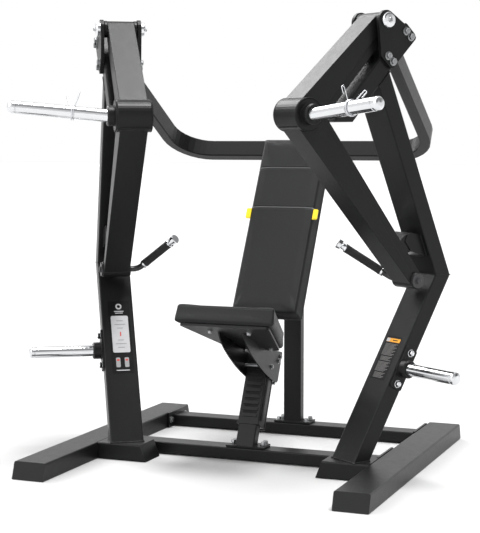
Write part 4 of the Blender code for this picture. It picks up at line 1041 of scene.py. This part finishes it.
def add_stitches(bm, tree, points, inward):
    """Small threads lying on the cover along a line of points, found by looking inward from outside."""
    path = spaced(points, STITCH_PITCH)
    for start, end in zip(path, path[1:]):
        ends = []
        for share in (0.16, 0.84):
            at = start.lerp(end, share)
            hit = tree.ray_cast(at - inward * LOOK_FROM, inward)[0]
            if hit is not None:
                ends.append(hit)
        if len(ends) == 2 and (ends[1] - ends[0]).length < STITCH_PITCH * 1.5:
            middle = (ends[0] + ends[1]) / 2.0 - inward * 0.0006
            add_tube(bm, [ends[0], middle, ends[1]], [0.00035, 0.0006, 0.00035], 5)


def finish_cushion(obj, place, node, body):
    obj.data.transform(place)
    obj.data.materials.clear()
    obj.data.materials.append(FINISH["upholstery"])
    obj.data.shade_smooth()
    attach(obj, body)
    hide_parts(node)


def add_welt(bm, tree, points, inward):
    """A cord sewn into a seam: it lies half sunk in the cover along a line of points."""
    path = []
    for at in spaced(points, WELT_PITCH):
        hit = tree.ray_cast(at - inward * LOOK_FROM, inward)[0]
        if hit is not None:
            path.append(hit - inward * WELT_RADIUS * 0.25)
    add_tube(bm, path, [WELT_RADIUS] * len(path), 8)


def make_sewing(name, obj, runs, add, material, place, body):
    """Stitches or cords on one cushion, each drawn by add; runs are (points, direction to look in)."""
    tree = BVHTree.FromPolygons([v.co for v in obj.data.vertices], [p.vertices for p in obj.data.polygons])
    bm = bmesh.new()
    for points, inward in runs:
        add(bm, tree, [Vector(p) for p in points], inward)
    bmesh.ops.transform(bm, matrix=place, verts=bm.verts)
    make_piece(name, bm, material, body)


def back_cushion():
    """Three padded panels on the back board, sewn across and round their edge."""
    pad = cushion_blank("back_cushion", "back_pad", PAD, 0.0055, 0.0004)
    swell(pad, lambda point: point.y > PAD_THICK - 0.006)
    refine(pad)
    half = PAD_HALF_FRONT - 0.0015

    def rim(point):
        inset = min(half - abs(point.x), point.z, PAD_LENGTH - point.z)
        return math.hypot(point.y - 0.004, max(0.0, inset - 0.002))

    def across(at):
        return lambda point: abs(point.z - at) if point.y < 0.020 else 1.0

    lines = [(across(at), Y_AXIS) for at in PAD_SEAMS] + [(rim, Y_AXIS * 0.4)]
    sew(pad, lines, 0.0034, 0.0030)
    cords = [([(-half + 0.002, 0.0, at), (half - 0.002, 0.0, at)], Y_AXIS) for at in PAD_SEAMS]
    make_sewing("back_welts", pad, cords, add_welt, WELT, PAD, "frame")
    runs = []
    for at in PAD_SEAMS:
        for shift in (-0.0085, 0.0085):
            runs.append(([(-half + 0.008, 0.0, at + shift), (half - 0.008, 0.0, at + shift)], Y_AXIS))
    for x in (-half + 0.008, half - 0.008):
        runs.append(([(x, 0.0, 0.012), (x, 0.0, PAD_LENGTH - 0.012)], Y_AXIS))
    make_sewing("back_stitching", pad, runs, add_stitches, WEB_THREAD, PAD, "frame")
    finish_cushion(pad, PAD, "back_pad", "frame")


def seat_cushion():
    """Boxed seat cushion: a top panel sewn to a band all round it."""
    pad = cushion_blank("seat_cushion", "seat_pad", SEAT, 0.0050, 0.0015)
    swell(pad, lambda point: point.z < 0.006)
    refine(pad)

    def inset(point):
        share = min(1.0, max(0.0, point.y / SEAT_LENGTH))
        half = SEAT_HALF_FRONT + (SEAT_HALF_REAR - SEAT_HALF_FRONT) * share - 0.0015
        return min(half - abs(point.x), point.y, SEAT_LENGTH - point.y)

    def top_rim(point):
        return math.hypot(point.z - (SEAT_THICK - 0.005), max(0.0, inset(point) - 0.002))

    def low_rim(point):
        return math.hypot(point.z - 0.006, max(0.0, inset(point) - 0.002))

    sew(pad, [(top_rim, -Z_AXIS * 0.4), (low_rim, Z_AXIS * 0.2)], 0.0028, 0.0026)
    wide = SEAT_HALF_FRONT - 0.012
    narrow = SEAT_HALF_REAR - 0.010
    front = [(-wide, 0.010, SEAT_THICK), (wide, 0.010, SEAT_THICK)]
    rear = [(-narrow, SEAT_LENGTH - 0.010, SEAT_THICK), (narrow, SEAT_LENGTH - 0.010, SEAT_THICK)]
    runs = [(front, -Z_AXIS), (rear, -Z_AXIS), ([front[0], rear[0]], -Z_AXIS), ([front[1], rear[1]], -Z_AXIS)]
    level = SEAT_THICK - 0.012
    runs.append(([(-wide, 0.0, level), (wide, 0.0, level)], Y_AXIS))
    make_sewing("seat_stitching", pad, runs, add_stitches, WEB_THREAD, SEAT, "seat")
    finish_cushion(pad, SEAT, "seat_pad", "seat")


# ---------------------------------------------------------------- carried-over nodes

def finish_nodes():
    """Give each CAD node the finish of its slot."""
    for subpart in frame["record"]["subparts"]:
        node = frame["nodes"][subpart["node"]]
        node.data.materials.clear()
        node.data.materials.append(FINISH[subpart["material_slot"]])


# ---------------------------------------------------------------- studio

def add_light(name, place, spread, strength):
    """A soft distant lamp in the direction of place, as wide in the sky as spread."""
    data = bpy.data.lights.new(name, "SUN")
    data.angle = spread
    data.energy = strength
    light = bpy.data.objects.new(name, data)
    light.location = place
    light.rotation_euler = (-Vector(place)).to_track_quat("-Z", "Y").to_euler()
    bpy.context.scene.collection.objects.link(light)


def make_floor():
    bm = bmesh.new()
    bmesh.ops.create_grid(bm, x_segments=8, y_segments=8, size=FLOOR_SIZE)
    mesh = bpy.data.meshes.new("studio_floor")
    bm.to_mesh(mesh)
    bm.free()
    surface = Surface("floor_finish", 0.95, specular=0.0)
    surface.colour(surface.mix(surface.noise(3.0), (0.455, 0.455, 0.455), (0.465, 0.465, 0.465)))
    mesh.materials.append(surface.material)
    floor = bpy.data.objects.new("studio_floor", mesh)
    bpy.context.scene.collection.objects.link(floor)


def make_dim_side(tree, background):
    """White all round, but dimmer high up towards +X, like a studio whose lamps hang on the other side."""
    direction = tree.nodes.new("ShaderNodeTexCoord").outputs["Generated"]
    parts = tree.nodes.new("ShaderNodeSeparateXYZ")
    tree.links.new(direction, parts.inputs[0])
    both = tree.nodes.new("ShaderNodeMath")
    both.operation = "MULTIPLY"
    for slot, (axis, start, end) in enumerate((("X", *DIM_X), ("Z", *DIM_Z))):
        ramp = tree.nodes.new("ShaderNodeMapRange")
        tree.links.new(parts.outputs[axis], ramp.inputs["Value"])
        ramp.inputs[1].default_value = start
        ramp.inputs[2].default_value = end
        tree.links.new(ramp.outputs["Result"], both.inputs[slot])
    level = tree.nodes.new("ShaderNodeMapRange")
    tree.links.new(both.outputs[0], level.inputs["Value"])
    level.inputs[3].default_value = 1.0
    level.inputs[4].default_value = DIM_LEVEL
    tree.links.new(level.outputs["Result"], background.inputs["Color"])


def make_studio():
    scene = bpy.context.scene
    scene.view_settings.view_transform = "Standard"
    world = bpy.data.worlds.new("studio")
    scene.world = world
    world.use_nodes = True
    background = world.node_tree.nodes["Background"]
    background.inputs["Strength"].default_value = 1.0
    make_dim_side(world.node_tree, background)
    for name, place, width, strength in LIGHTS:
        add_light(name, place, math.radians(width), strength)


def make_camera():
    data = bpy.data.cameras.new("camera")
    data.lens = LENS
    camera = bpy.data.objects.new("camera", data)
    camera.location = CAMERA_AT
    aim = Vector(CAMERA_TO) - Vector(CAMERA_AT)
    camera.rotation_euler = aim.to_track_quat("-Z", "Y").to_euler()
    bpy.context.scene.collection.objects.link(camera)
    bpy.context.scene.camera = camera


# ---------------------------------------------------------------- all of it

make_camera()
make_studio()
make_floor()
finish_nodes()
make_bolts()
make_welds()
make_fittings()
left_placard()
right_notice()
back_cushion()
seat_cushion()
